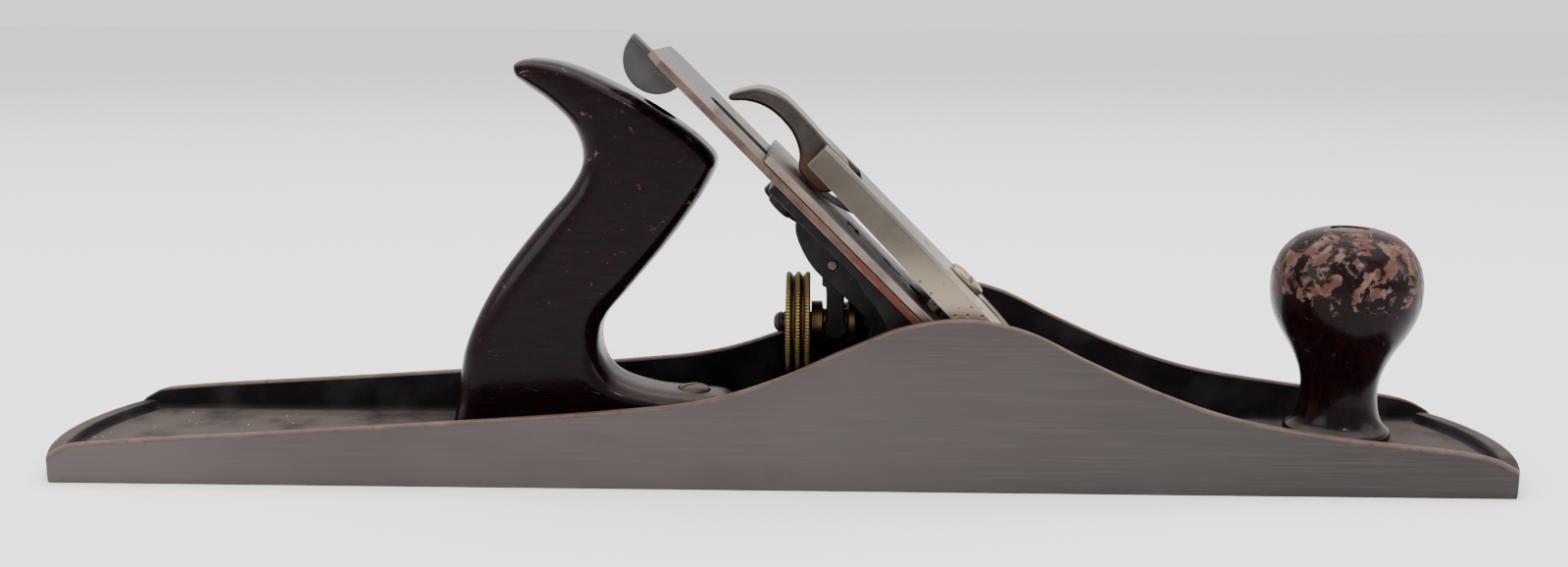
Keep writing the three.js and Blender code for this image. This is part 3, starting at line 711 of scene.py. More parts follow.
FROG_SCREW_X, FROG_SCREW_HALF = 60.0, 14.0
MOUTH = [(84.5, -1), (95, -1), (95, 0), (98.5, 5), (84.5, 5)]
MOUTH_HALF = 32
NIB = [(103.5, 34.4), (105, 28), (111, 27), (111, 31.2)]
STATIONS = 190


def across_points():
    """(y, how the height is found) from the near edge to the far one."""
    inner = HALF_WIDTH - CHEEK
    half = [(HALF_WIDTH, "low rim"), (HALF_WIDTH - RIM_PART, "mid rim"),
            (HALF_WIDTH - RIM_EDGE, "rim"), (inner + RIM_EDGE, "rim"),
            (inner + RIM_PART, "mid rim"), (inner, "low rim"), (inner, "wall foot")]
    for a in np.radians([22.5, 45, 67.5, 90]):
        half.append((inner - FILLET * (1 - math.cos(a)), FLOOR + FILLET * (1 - math.sin(a))))
    half += [(y, FLOOR) for y in (27, 22, 16, 10, 5)]
    near = [(-y, kind) for y, kind in half]
    return near + [(0, FLOOR)] + half[::-1]


def station_list():
    """Places along the casting, close together where its ends step down."""
    ends = [0, RIM_PART, RIM_EDGE, 2.3, BEAD_WIDTH - 0.5, BEAD_WIDTH, 5.6, 6.3, 7.2, 9, 12, 16, 20]
    middle_run = np.linspace(-CORNER_X + 22, CORNER_X - 22, STATIONS)
    return [e - CORNER_X for e in ends] + list(middle_run) + [CORNER_X - e for e in ends[::-1]]


def casting_points(across, stations):
    """The casting's upper and lower surface, station by station."""
    top, bottom = [], []
    for row, station in enumerate(stations):
        end = CORNER_X - abs(station)
        from_end = min(row, len(stations) - 1 - row)
        drop = {0: RIM_EDGE, 1: RIM_PART}.get(from_end, 0)
        height = np.interp(station, CHEEK_TOP[:, 0], CHEEK_TOP[:, 1])
        levels = {"rim": height, "mid rim": height - RIM_PART, "low rim": height - RIM_EDGE,
                  "wall foot": min(FLOOR + FILLET, height - RIM_EDGE)}
        bead = FLOOR + (BEAD_TOP - FLOOR) * (1 - smooth((end - BEAD_WIDTH + 0.5) / 2.2))
        for y, kind in across:
            bow = math.sqrt(END_RADIUS ** 2 - y * y) - (END_RADIUS - END_BOW)
            x = station + math.copysign(bow * (1 - smooth((end - 14) / 60)), station)
            top.append((x, y, max(levels.get(kind, kind), bead) - drop))
            at_edge = abs(y) > HALF_WIDTH - 0.01 or end < 0.01
            bottom.append((x, y, RIM_EDGE if at_edge else 0.0))
    return top, bottom


def casting_shell():
    """The sole and cheeks as one skin, each face with its paint."""
    across, stations = across_points(), station_list()
    rows, cols = len(stations), len(across)
    top, bottom = casting_points(across, stations)
    faces, kinds = [], []
    n = rows * cols
    for i in range(rows - 1):
        for j in range(cols - 1):
            a, b = i * cols + j, (i + 1) * cols + j
            faces.append((a, b, b + 1, a + 1))
            bare = min(j, cols - 2 - j) < 5 or i in (0, rows - 2)
            kinds.append(BARE if bare else BLACK)
            faces.append((n + a + 1, n + b + 1, n + b, n + a))
            kinds.append(GROUND)
    ring = [i * cols for i in range(rows)]
    ring += [(rows - 1) * cols + j for j in range(1, cols)]
    ring += [i * cols + cols - 1 for i in range(rows - 2, -1, -1)]
    ring += range(cols - 2, 0, -1)
    for a, b in zip(ring, ring[1:] + ring[:1]):
        faces.append((a, n + a, n + b, b))
        kinds.append(GROUND)
    return piece("casting", top + bottom, faces, FLAT, kinds)


def casting_paints(obj, index=None):
    """Gives a part the casting's three materials, and one of them to every face."""
    for paint in (IRON_SIDE, RIM, JAPAN):
        obj.data.materials.append(paint)
    if index is not None:
        obj.data.polygons.foreach_set("material_index", [index] * len(obj.data.polygons))
    return obj


def weld(obj):
    """Merges points that lie together, such as the ends of a collapsed wall."""
    step = obj.modifiers.new("weld", "WELD")
    step.merge_threshold = 0.002 * MM
    return settle(obj)


def sole_casting():
    """The body: the shell with its bosses, frog seat, nib, mouth and screw holes."""
    shell = weld(casting_paints(casting_shell()))
    seat = [(33, 3), (72.5, 3), (71.5, 11.7), (33, 11.7)]
    parts = [plate("tote_boss", slot_loop(-92, -24, 9), FLOOR - 1, 6.7, 0.5),
             plate("knob_boss", circle(KNOB_X, 0, 17.5, 64), FLOOR - 1, 8.2, 0.5),
             slab("seat", eased(seat, 0.8), -26, 26, 0.4),
             slab("nib", eased(NIB, 0.8), -34, -30.5, 0.4)]
    join(shell, *[casting_paints(part, BLACK) for part in parts])
    mouth = slab("mouth", MOUTH, -MOUTH_HALF, MOUTH_HALF, 0)
    holes = [drill(KNOB_X, 0, 3.1, 3, 10), drill(TOE_SCREW_X, 0, 2.4, 2.7, 10)]
    holes += [drill(FROG_SCREW_X, side * FROG_SCREW_HALF, 2.8, 5.5, 13) for side in (-1, 1)]
    cut(shell, casting_paints(mouth, GROUND), *[casting_paints(hole, BLACK) for hole in holes])
    return show(shell, "body", sharp=50)


sole_casting()


# ---------------------------------------------------------------- handles
# Side view of the tote: x, z, and how far its rounding reaches in from the edge.
TOTE_OUTLINE = [
    (-102, 8, 6), (-101, 20, 7.5), (-98.6, 35.9, 8.5), (-89, 55.7, 8.5), (-73.6, 75.8, 8),
    (-64.3, 86.6, 7), (-60.4, 95, 7), (-62.5, 104.5, 6), (-70, 112.8, 5), (-77.2, 118, 4),
    (-80.0, 120.6, 2.2), (-80.4, 124.2, 2.0), (-77.2, 125.8, 2.4), (-66, 124.6, 3.4),
    (-50, 118, 3.4), (-35.3, 109.7, 3.4),
    (-23.5, 101, 3.6), (-19.2, 95.2, 3.6), (-21.5, 88.5, 4.6), (-33.2, 71.3, 5.2),
    (-46.8, 55, 6), (-55, 44.5, 7), (-55.8, 35.5, 7), (-51.5, 27.8, 6), (-40, 23.3, 5),
    (-26, 21.8, 5), (-16, 20.2, 4.5), (-12.5, 15, 4), (-12.5, 8, 4)]
TOTE_HALF = box_mm("tote")[1][1]
TOTE_BASE = box_mm("tote")[0][2]
TOTE_ROUNDING = 9.0
TOE_SEAT = 19.5
NUT_RADIUS = 5.5
ROD_RADIUS = 2.8
ROD_PITCH = 1.27
SCREW_EDGE = 0.12
GAP = 0.3


def reach_from(points, loop, reach):
    """The distance from each point to the loop, and the loop's reach there."""
    best = np.full(len(points), 1e9)
    width = np.zeros(len(points))
    for k, start in enumerate(loop):
        n = (k + 1) % len(loop)
        run = loop[n] - start
        rel = points - start
        share = np.clip(rel @ run / max(run @ run, 1e-12), 0, 1)
        gap = np.linalg.norm(rel - share[:, None] * run, axis=1)
        closer = gap < best
        best[closer] = gap[closer]
        width[closer] = (reach[k] + share * (reach[n] - reach[k]))[closer]
    return best, width


def pillow_spots(loop, reach, spacing):
    """Points over a loop: rings where its rounding bends, and a grid where it is flat."""
    ahead = np.roll(loop, -1, axis=0) - np.roll(loop, 1, axis=0)
    ahead /= np.linalg.norm(ahead, axis=1)[:, None]
    left = np.column_stack([-ahead[:, 1], ahead[:, 0]])
    picked = [loop]
    for angle in np.radians([16, 28, 40, 52, 64, 76, 90]):
        share = 1 - math.cos(angle)
        ring = loop + left * (reach * share)[:, None]
        gap, _ = reach_from(ring, loop, reach)
        picked.append(ring[(gap > 0.9 * reach * share) & inside(ring, loop)])
    low, high = loop.min(0), loop.max(0)
    xs, ys = np.meshgrid(np.arange(low[0], high[0], spacing), np.arange(low[1], high[1], spacing))
    grid = np.column_stack([xs.ravel(), ys.ravel()])
    grid = grid[inside(grid, loop)]
    gap, width = reach_from(grid, loop, reach)
    return np.vstack([*picked, grid[gap > 1.1 * width]])


def pillow(name, outline, half, drop, spacing, to):
    """A slab whose faces round off towards its outline, by each point's own reach."""
    loop, reach = outline[:, :2], outline[:, 2]
    if area_of(loop) < 0:
        loop, reach = loop[::-1], reach[::-1]
    edges = [(k, (k + 1) % len(loop)) for k in range(len(loop))]
    flat, _, triangles, _, _, _ = geometry.delaunay_2d_cdt(
        [Vector(p) for p in pillow_spots(loop, reach, spacing)], edges, [], 1, 1e-5)
    spots = np.array([(p[0], p[1]) for p in flat])
    gap, width = reach_from(spots, loop, reach)
    inward = np.clip(gap / width, 0, 1)
    rise = half - drop * (1 - np.sqrt(np.clip(1 - (1 - inward) ** 2, 0, 1)))
    n = len(spots)
    points = [(x, y, side * z) for side in (1, -1) for (x, y), z in zip(spots, rise)]
    faces = []
    for tri in triangles:
        up = tuple(tri) if area_of(spots[list(tri)]) > 0 else tuple(reversed(tri))
        faces += [up, tuple(n + k for k in reversed(up))]
    pairs = [pair for tri in faces[::2] for pair in zip(tri, tri[1:] + tri[:1])]
    drawn = set(pairs)
    faces += [(b, a, n + a, n + b) for a, b in pairs if (b, a) not in drawn]
    return piece(name, points, faces, to)


TOTE_ROD_TOP = (-37.2, 110)
TOTE_ROD_LEAN = 0.485
ROD_AXES = axes((math.cos(TOTE_ROD_LEAN), 0, -math.sin(TOTE_ROD_LEAN)), (0, 1, 0),
                (math.sin(TOTE_ROD_LEAN), 0, math.cos(TOTE_ROD_LEAN)),
                (TOTE_ROD_TOP[0], 0, TOTE_ROD_TOP[1]))


def tote():
    wood = pillow("tote", curve(TOTE_OUTLINE, 7, closed=True), TOTE_HALF, TOTE_ROUNDING, 2.4, SIDE)
    cut(wood, block(-140, 20, -20, 20, -20, TOTE_BASE),
        drill(0, 0, ROD_RADIUS + GAP, -128, 5, ROD_AXES),
        drill(0, 0, NUT_RADIUS + GAP, -8, 14, ROD_AXES),
        drill(TOE_SCREW_X, 0, 2.4, 0, 40),
        drill(TOE_SCREW_X, 0, 5.3, TOE_SEAT, 40, steps=48))
    show(wood, "tote", TOTE_WOOD, sharp=40)


def slotted_nut(name, to, bottom, top):
    """A brass barrel nut: chamfered, slotted, bored from below."""
    r = NUT_RADIUS
    nut = turned(name, [(0, bottom), (r - 0.3, bottom), (r, bottom + 0.3),
                        (r, top - 0.5), (r - 0.5, top), (0, top)], 48, to)
    return cut(nut, block(-r - 1, r + 1, -0.6, 0.6, top - 1.8, top + 1, to),
               drill(0, 0, ROD_RADIUS + GAP, bottom - 1, top - 5, to))


def thread(radius, pitch, depth):
    """A radius that follows a screw thread."""
    def shape(r, height, angle):
        if r < radius - 1e-6:
            return r
        turn = (height / pitch - angle / (2 * math.pi)) % 1
        return r - depth * abs(2 * turn - 1) ** 0.8
    return shape


def threaded_rod(name, radius, pitch, z0, z1, to, dome=0.8, steps=40):
    """A rod threaded all along, with rounded ends."""
    rows = int((z1 - z0 - 2 * dome) / (pitch / 7))
    heights = np.linspace(z0 + dome, z1 - dome, rows)
    core = radius - 0.61 * pitch
    ends = [(0, z0), (core * 0.45, z0 + 0.08 * dome), (core * 0.8, z0 + 0.35 * dome),
            (core, z0 + 0.8 * dome)]
    profile = ends + [(radius, h) for h in heights]
    profile += [(r, z0 + z1 - h) for r, h in reversed(ends)]
    return turned(name, profile, steps, to, thread(radius, pitch, 0.55 * pitch))


def dome_profile(radius, height):
    """A screw head's profile: a short rim, then a dome."""
    rim = height / 2
    made = [(0, 0), (radius - 0.15, 0), (radius, 0.15), (radius, rim)]
    for a in np.radians([15, 30, 45, 60, 75]):
        made.append((radius * math.cos(a), rim + (height - rim) * math.sin(a)))
    return made + [(0, height)]


def slotted_screw(name, to, head, height, shank, length, slot_width, turn=0.0):
    """A domed, slotted screw. Its head sits on local z = 0, and its shank hangs below."""
    body = turned(name, dome_profile(head, height), 56, to)
    twist = to @ Matrix.Rotation(math.radians(turn), 4, "Z")
    cut(body, block(-head - 1, head + 1, -slot_width / 2, slot_width / 2,
                    height * 0.42, height + 1, twist))
    ease(body, SCREW_EDGE)
    stem = turned("stem", [(0, -length), (shank - 0.3, -length), (shank, -length + 0.4),
                           (shank, 0.3), (0, 0.3)], 40, to)
    return join(body, stem)


def knob():
    low, high = box_mm("knob")
    centre = (low + high) / 2
    at = upright(centre[0], centre[1])
    base = low[2]
    skirt = [(0, base), (14.6, base), (15.6, base + 0.4), (16.2, base + 1.4)]
    waist = curve([(16, base + 3.2), (13.4, 14.4), (11.9, 19), (11.5, 24.5), (12.4, 30),
                   (15.2, 36.6), (19, 43), (21.7, 49.4), (22.6, 56.4), (21.8, 62.6),
                   (19, 68.4), (14.4, 72.6), (8.5, 74.8), (6.4, 75.05)], 5)
    wood = turned("knob", skirt + [tuple(p) for p in waist] + [(0, high[2])], 96, at)
    cut(wood, drill(0, 0, ROD_RADIUS + GAP, 0, 80, at), drill(0, 0, NUT_RADIUS + GAP, 66, 80, at))
    show(wood, "knob", KNOB_WOOD, sharp=45)
    nut_low, nut_high = box_mm("knob_nut")
    show(slotted_nut("nut", at, nut_low[2], nut_high[2]), "knob_nut", PLAIN_BRASS)
    rod_low, rod_high = box_mm("knob_rod")
    rod = threaded_rod("rod", ROD_RADIUS, ROD_PITCH, rod_low[2], rod_high[2], at)
    show(rod, "knob_rod", DARK_STEEL)


def tote_hardware():
    show(slotted_nut("nut", ROD_AXES, -8 + GAP, -1.5), "tote_nut", PLAIN_BRASS)
    length = (TOTE_ROD_TOP[1] - 5) / math.cos(TOTE_ROD_LEAN)
    rod = threaded_rod("rod", ROD_RADIUS, ROD_PITCH, -length, -6 - GAP, ROD_AXES)
    show(rod, "tote_rod", DARK_STEEL)
    seat = upright(TOE_SCREW_X, 0, TOE_SEAT + GAP)
    screw = slotted_screw("screw", seat, 5.0, 3.7, 2.1, 16.8, 1.2, 25)
    show(screw, "tote_toe_screw", RUSTY_STEEL)


tote()
tote_hardware()
knob()


# ---------------------------------------------------------------- frog
FROG_HALF = 25.5
PLATE_BACK = -3.2
SEAT_TOP = 12.0
FROG_LOW = box_mm("frog")[0][2]
FROG_TRAVEL = 1.5
PIN_BORE = 1.8
CAP_SCREW_S = 63.0
IRON_SCREW_S = 82.0
Y_TIP_S = 99.5
LATERAL_PIVOT_S = 122.0
ROLLER_S = 111.0
CLIP_SCREW_Z = 21.5
Y_PIVOT = (middle("y_lever_pin")[0], middle("y_lever_pin")[2])


def web_outlines():
    """The frog's centre webs and its flanks, seen from the side."""
    def back(s):
        return bed_point(s, PLATE_BACK + 1)

    foot = back(SEAT_TOP / R - PLATE_BACK - 1)
    hollow = curve([(34, 28), (31, 40), (27, 47.5), (21.7, 53), (17.4, 57), (11.5, 62.4),
                    (8.2, 67.1), (5.5, 73.5), (5.2, 76.8)], 3)
    swoop = curve([(38, SEAT_TOP), (37.2, 26), (35.6, 38), (33.2, 46.6), (30.2, 52.4), (26, 57.4)], 5)
    return (eased([foot, (34, SEAT_TOP), *hollow, back(114)], 0.8),
            eased([foot, *swoop, (24.3, 60.8), back(89.5)], 0.8))


def frog_parts():
    """What the frog's bed plate carries: webs, flanks, foot, bosses and ledges."""
    centre, flank = web_outlines()
    foot = [(30, SEAT_TOP), (74.6, SEAT_TOP), (69.6, 17), (34, 17), (34, 26), (30, 26)]
    stud_boss = [(28.6, 37), (49.6, 37), (36, 50.6), (28.6, 50.6)]
    cap_boss = [(0, -14), (6.4, -14), (7, -13.4), (7, -2.2), (0, -2.2)]
    parts = [plate("backing", eased(rectangle(70, 90.8, -13, 13), 1), -6.2, -2.2, 0.4, BED),
             plate("boss", slot_loop(119, 122, 6), -6.6, -2.2, 1.0, BED)]
    parts += [plate("lump", circle(121, y, 4.6), -6.6, -2.2, 1.2, BED) for y in (-9, 9)]
    parts += [slab("web", centre, y, y + 4.5, 0.5) for y in (8.3, -12.8)]
    parts += [slab("flank", flank, y, y + 4, 0.5) for y in (21.5, -FROG_HALF)]
    parts += [slab("foot", eased(foot, 0.8), -FROG_HALF, FROG_HALF, 0.5),
              slab("stud", eased(stud_boss, 1), -9, 9, 0.6),
              turned("cap_boss", cap_boss, 40, BED @ upright(CAP_SCREW_S, 0))]
    parts += [plate("ledge", circle(FROG_SCREW_X, side * FROG_SCREW_HALF, 9.6, 48), SEAT_TOP, 19, 0.4)
              for side in (-1, 1)]
    return parts


def frog_holes():
    """What is cut out of the frog: pockets in its bed, bores, and slots for its screws."""
    lever_pocket = [(105.6, -8.2), (116, -7.4), (129, -8), (129, 8), (116, 7.4), (105.6, 8.2)]
    holes = [
        block(0, 200, -40, 40, -40, FROG_LOW),
        plate("pocket", slot_loop(81.3, 82.7, 7.6), -3.1, 2, 0, BED),
        block(93.5, 104.6, -5, 5, -8, 2, BED),
        block(92.6, 101.8, -8.3, 8.3, -8, -2.1, BED),
        plate("pocket", lever_pocket, -2.5, 2, 0, BED),
        drill(CAP_SCREW_S, 0, 3.5, -20, 2, BED),
        drill(LATERAL_PIVOT_S, 0, 2.3, -10, 2, BED),
        drill(0, 0, 3.85, 20, 35, along_x(0, 0, WHEEL_AXIS_Z)),
        drill(0, 0, PIN_BORE, -20, 20, along_y(Y_PIVOT[0], 0, Y_PIVOT[1])),
        drill(0, 0, PIN_BORE, 29, 33.4, along_x(0, 0, CLIP_SCREW_Z))]
    for side in (-1, 1):
        for radius, low in ((3.1, 5), (6.8, 19)):
            slot = slot_loop(FROG_SCREW_X - FROG_TRAVEL, FROG_SCREW_X + FROG_TRAVEL, radius,
                             side * FROG_SCREW_HALF)
            holes.append(plate("slot", slot, low, 60, 0))
    return holes


def frog():
    outline = eased(rectangle(-10, 128, -FROG_HALF, FROG_HALF), 1.2)
    bed = plate("bed", outline, PLATE_BACK, -GAP, 0.5, BED)
    join(bed, *frog_parts())
    cut(bed, *frog_holes())
    show(bed, "frog", FROG_JAPAN, sharp=32)


def frog_screws():
    """The two screws that hold the frog down, each with its washer."""
    for side, word in ((-1, "near"), (1, "far")):
        y = side * FROG_SCREW_HALF
        at = upright(FROG_SCREW_X, y, 20.8)
        screw = slotted_screw("screw", at, 4.8, 3.4, 2.5, 14.8, 1.2, 40 * side)
        show(screw, f"frog_screw_{word}", DARK_STEEL)
        hole = circle(FROG_SCREW_X, y, 2.8, 32)
        washer = plate("washer", circle(FROG_SCREW_X, y, 6, 48), 19.3, 20.5, 0.2, holes=[hole])
        show(washer, f"frog_washer_{word}", DARK_STEEL)


def frog_adjuster():
    """The collared screw behind the frog, and the screwed-on clip that joins it to the frog."""
    axis = along_x(0, 0, middle("frog_adjusting_screw")[2])
    r, head = 2.4, 3.7
    profile = [(0, 22), (head - 0.5, 22), (head, 22.5), (head, 27.3), (head - 0.3, 27.6), (r, 27.6),
               (r, 30), (head, 30), (head, 31), (r, 31), (r, 51.4), (r - 0.6, 52), (0, 52)]
    screw = turned("screw", profile, 44, axis)
    cut(screw, block(-5, 5, -0.6, 0.6, 21, 23.4, axis))
    show(ease(screw, SCREW_EDGE), "frog_adjusting_screw", DARK_STEEL)
    outline = eased([(-6, 5), (-2.7, 5), (-2.7, 8.2), (2.7, 8.2), (2.7, 5), (6, 5), (6, 26),
                     (-6, 26)], 0.9)
    to_x = along_x(0, 0, 0)
    clip = plate("clip", outline, 28.1, 29.6, 0.25, to_x, [circle(0, CLIP_SCREW_Z, PIN_BORE, 24)])
    cut(clip, drill(0, 8.2, 2.7, 27, 31, to_x))
    show(clip, "frog_adjusting_clip", DARK_STEEL)
    away = axes((0, -1, 0), (0, 0, 1), (-1, 0, 0), (27.6, 0, CLIP_SCREW_Z))
    show(slotted_screw("screw", away, 3.2, 2.0, 1.5, 5.4, 0.8, 20), "frog_clip_screw", DARK_STEEL)


frog()
frog_screws()
frog_adjuster()


# ---------------------------------------------------------------- depth adjustment
GROOVE_X = 17.9


def y_lever():
    """The lever whose fork rides in the wheel's groove and whose tip moves the chip breaker."""
    px, pz = Y_PIVOT
    arm_outline = eased([(px - 3, pz), (GROOVE_X - 2.9, 54), (GROOVE_X - 2.8, WHEEL_AXIS_Z),
                         (GROOVE_X + 2.8, WHEEL_AXIS_Z), (GROOVE_X + 2.7, 52), (px + 3, pz)], 1.0)
    yoke = [(px - 2.9, pz + 1), (px - 3.1, 56.4), (px + 3.6, 56.4), (px + 2.9, pz + 1)]
    tip = [(95.4, -6), (99.4, -6), (101.4, 4.1), (100.6, 4.7), (98.4, 4.7), (97.6, 4.1)]
    sides = (-7.6, 4.8)
    at_groove, at_pin = along_y(GROOVE_X, 0, WHEEL_AXIS_Z), along_y(px, 0, pz)
    parts = [slab("arm", arm_outline, y, y + 2.8, 0.6) for y in sides]
    parts += [turned("foot", rod_profile(3.7, y, y + 2.8, 0.4), 36, at_groove) for y in sides]
    parts += [slab("yoke", eased(yoke, 0.8), -7.6, 7.6, 0.7),
              plate("tip_arm", eased(rectangle(Y_TIP_S - 4.4, Y_TIP_S + 1.9, -4.2, 4.2), 0.6),
                    -5, -3.6, 0.3, BED),
              slab("tip", eased(tip, 0.6), -4.2, 4.2, 0.4, bed=True)]
    lever = turned("barrel", rod_profile(3.9, -7.8, 7.8, 0.5), 40, at_pin)
    join(lever, *parts)
    cut(lever, drill(0, 0, PIN_BORE, -9, 9, at_pin))
    show(lever, "y_lever", FROG_JAPAN, sharp=32)
    pin = turned("pin", rod_profile(1.5, -13.2, 13.2, 0.3), 32, at_pin)
    show(pin, "y_lever_pin", RUSTY_STEEL)


def stud():
    low, high = box_mm("adjuster_stud")
    rod = threaded_rod("stud", high[1], 1.06, low[0], high[0], along_x(0, 0, WHEEL_AXIS_Z), 1.6, 48)
    show(rod, "adjuster_stud", DARK_STEEL)


def wheel():
    """The depth wheel: a grooved hub, and a rim with three knurled ridges."""
    bore = box_mm("adjuster_stud")[1][1] + GAP
    axis = along_x(0, 0, WHEEL_AXIS_Z)
    hub = [(bore, 10.3), (6.5, 10.3), (6.8, 10.6), (6.8, 13.6), (6.5, 13.9), (4.7, 14.0),
           (4.4, 14.3), (4.4, 21.5), (4.7, 21.8), (6.5, 21.9), (6.8, 22.2), (6.8, 23.8),
           (6.5, 24.1), (bore, 24.1)]
    show(turned("hub", hub, 64, axis, closed=True), "depth_wheel_hub", PLAIN_BRASS)
    (x0, _, _), (x1, radius, _) = box_mm("depth_wheel_rim")
    ridge, groove, notches, notch = 1.7, 1.25, 96, 0.34
    profile = [(bore, x0), (bore + 2.2, x0), (bore + 2.6, x0 + 0.25), (11.2, x0 + 0.25), (11.8, x0),
               (radius - 0.45, x0)]
    for start in (x0, x0 + ridge + groove, x0 + 2 * (ridge + groove)):
        if start > x0:
            profile += [(radius - 0.95, start - groove + 0.25), (radius - 1.15, start - groove / 2),
                        (radius - 0.95, start - 0.25)]
        profile += [(radius - 0.35, start + 0.12), (radius, start + 0.4),
                    (radius, start + ridge - 0.4), (radius - 0.35, start + ridge - 0.12)]
    profile += [(radius - 0.45, x1), (11.8, x1), (11.2, x1 - 0.25), (8, x1 - 0.25), (7.4, x1), (bore, x1)]

    def knurl(r, _height, angle):
        if r < radius - 0.4:
            return r
        return r - notch * (1 - abs(math.sin(0.5 * notches * angle))) ** 2

    rim = turned("rim", profile, notches * 6, axis, knurl, closed=True)
    show(rim, "depth_wheel_rim", WHEEL_BRASS, sharp=30)


y_lever()
stud()
wheel()


# ---------------------------------------------------------------- lateral adjustment
def lateral():
    """The lateral lever with its rivet, and the roller that runs in the iron's slot."""
    pivot, roller_at = LATERAL_PIVOT_S, BED @ upright(ROLLER_S, 0)
    half = [(ROLLER_S - 4, 3.6), (pivot - 5, 5), (pivot + 6, 5), (168, 4), (189.5, 4)]
    outline = [(s, -y) for s, y in half] + half[::-1]
    holes = [circle(pivot, 0, 2.3, 28), circle(ROLLER_S, 0, PIN_BORE, 24)]
    strip = plate("strip", eased(outline, 1.4), -2.2, -0.6, 0.3, BED, holes)
    join(strip, slab("tab", arc(179, -1.5, 10.5, 180, 360, 40), -1.1, 1.1, 0.45, bed=True))
    show(strip, "lateral_lever", TAB_STEEL)
    rivet = [(0, -6.4), (1.7, -6.4), (2, -6.1), (2, -0.3), (3.2, -0.3), (3.5, 0), (3.4, 0.6),
             (2.6, 1.05), (0, 1.2)]
    show(turned("rivet", rivet, 36, BED @ upright(pivot, 0)), "lateral_lever_rivet", DARK_STEEL)
    roller = [(1.8, -0.3), (4.5, -0.3), (4.75, -0.05), (4.75, 1.65), (4.5, 1.9), (1.8, 1.9)]
    show(turned("roller", roller, 44, roller_at, closed=True), "lateral_roller", BREAKER_STEEL)
    pin = [(0, -2.2), (1.3, -2.2), (1.5, -2.0), (1.5, 1.7), (1.2, 1.9), (0, 1.9)]
    show(turned("pin", pin, 28, roller_at), "lateral_roller_rivet", DARK_STEEL)


lateral()


# ---------------------------------------------------------------- iron and chip breaker
IRON_HALF = box_mm("iron")[1][1]
IRON_THICK = 2.3
IRON_TOP = 180.5
BREAKER_LOW, BREAKER_FACE, BREAKER_TOP = 2.6, 5.0, 135


def iron():
    """The plane iron: a flat blade with a keyhole slot and a ground bevel below its edge."""
    edge_s = -IRON_THICK
    bevel_run = IRON_THICK / math.tan(math.radians(25))
    corner = 4
    plan = [(edge_s, -IRON_HALF), (IRON_TOP - corner, -IRON_HALF), (IRON_TOP, -IRON_HALF + corner),
            (IRON_TOP, IRON_HALF - corner), (IRON_TOP - corner, IRON_HALF), (edge_s, IRON_HALF)]
    half_slot, hole = 5.55, 12.0
    opening = math.degrees(math.asin(half_slot / hole))
    keyhole = np.vstack([arc(52, 0, hole, opening, 360 - opening, 36),
                         arc(154, 0, half_slot, -90, 90, 16)])
    obj = plate("iron", plan, 0, IRON_THICK, 0.22, holes=[keyhole])
    for v in obj.data.vertices:
        if v.co.x / MM < edge_s + 0.5:
            v.co.x += (1 - v.co.z / MM / IRON_THICK) * bevel_run * MM
    obj.data.transform(Matrix.Scale(MM, 4) @ BED @ Matrix.Scale(1 / MM, 4))
    show(obj, "iron", IRON_STEEL, sharp=24)


def chip_breaker():
    """The chip breaker, humped over the edge, and the screw that clamps the iron to it."""
    hump = curve([(-0.9, BREAKER_LOW + 0.05), (1.2, 5.2), (5, 7), (11, 7.6), (18, 7), (27, 5.6),
                  (36, BREAKER_FACE)], 5)
    belly = curve([(38, BREAKER_LOW), (28, 3.3), (19, 4.5), (11, 5.0), (6, 4.5), (0.6, BREAKER_LOW)], 4)
    outline = np.vstack([hump, [(BREAKER_TOP, BREAKER_FACE), (BREAKER_TOP, BREAKER_LOW)], belly])
    obj = slab("breaker", outline, -IRON_HALF, IRON_HALF, 0.25, bed=True)
    cut(obj, plate("slot", slot_loop(58, 68, 6.5), 0, 9, 0, BED),
        drill(IRON_SCREW_S, 0, 4.2, 0, 9, BED),
        block(Y_TIP_S - 2.7, Y_TIP_S + 2.7, -5.8, 5.8, 0, 9, BED))
    show(obj, "chip_breaker", BREAKER_STEEL, sharp=24)
    flipped = BED @ Matrix.Translation((IRON_SCREW_S, 0, -GAP)) @ Matrix.Rotation(math.pi, 4, "X")
    screw = turned("screw", [(0, 0), (6.2, 0), (6.2, 1.9), (5.7, 2.4), (0, 2.4)], 56, flipped)
    cut(screw, block(-8, 8, -0.6, 0.6, 1.4, 4, flipped))
    shank = threaded_rod("shank", 3.9, 1.0, -1.5, BREAKER_FACE, BED @ upright(IRON_SCREW_S, 0), 0.5)
    show(join(screw, shank), "cap_iron_screw", DARK_STEEL, sharp=32)


iron()
chip_breaker()


# ---------------------------------------------------------------- lever cap
CAP_TOP = 18.3
CAM_PIVOT = (117.5, 13.3)
PIN_HALF = box_mm("cam_lever_pin")[1][1]
CAP_PLAN = [(6.5, 29), (50, 29), (114, 23), (125, 21)]
CAP_LINE = curve([(6.5, 9.9), (14, 12.2), (24, 14.8), (36, 16.9), (52, 17.8), (90, 18.1),
                  (125, CAP_TOP)], 6)
CAP_UNDER = [(6.5, 8), (20, 8), (62, 9), (125, 10.2)]
CAP_SHOULDER = 1.3
CAP_WALL = 2.6
SPRING_RIVET_S = 80
LEAF_THICK = 0.6


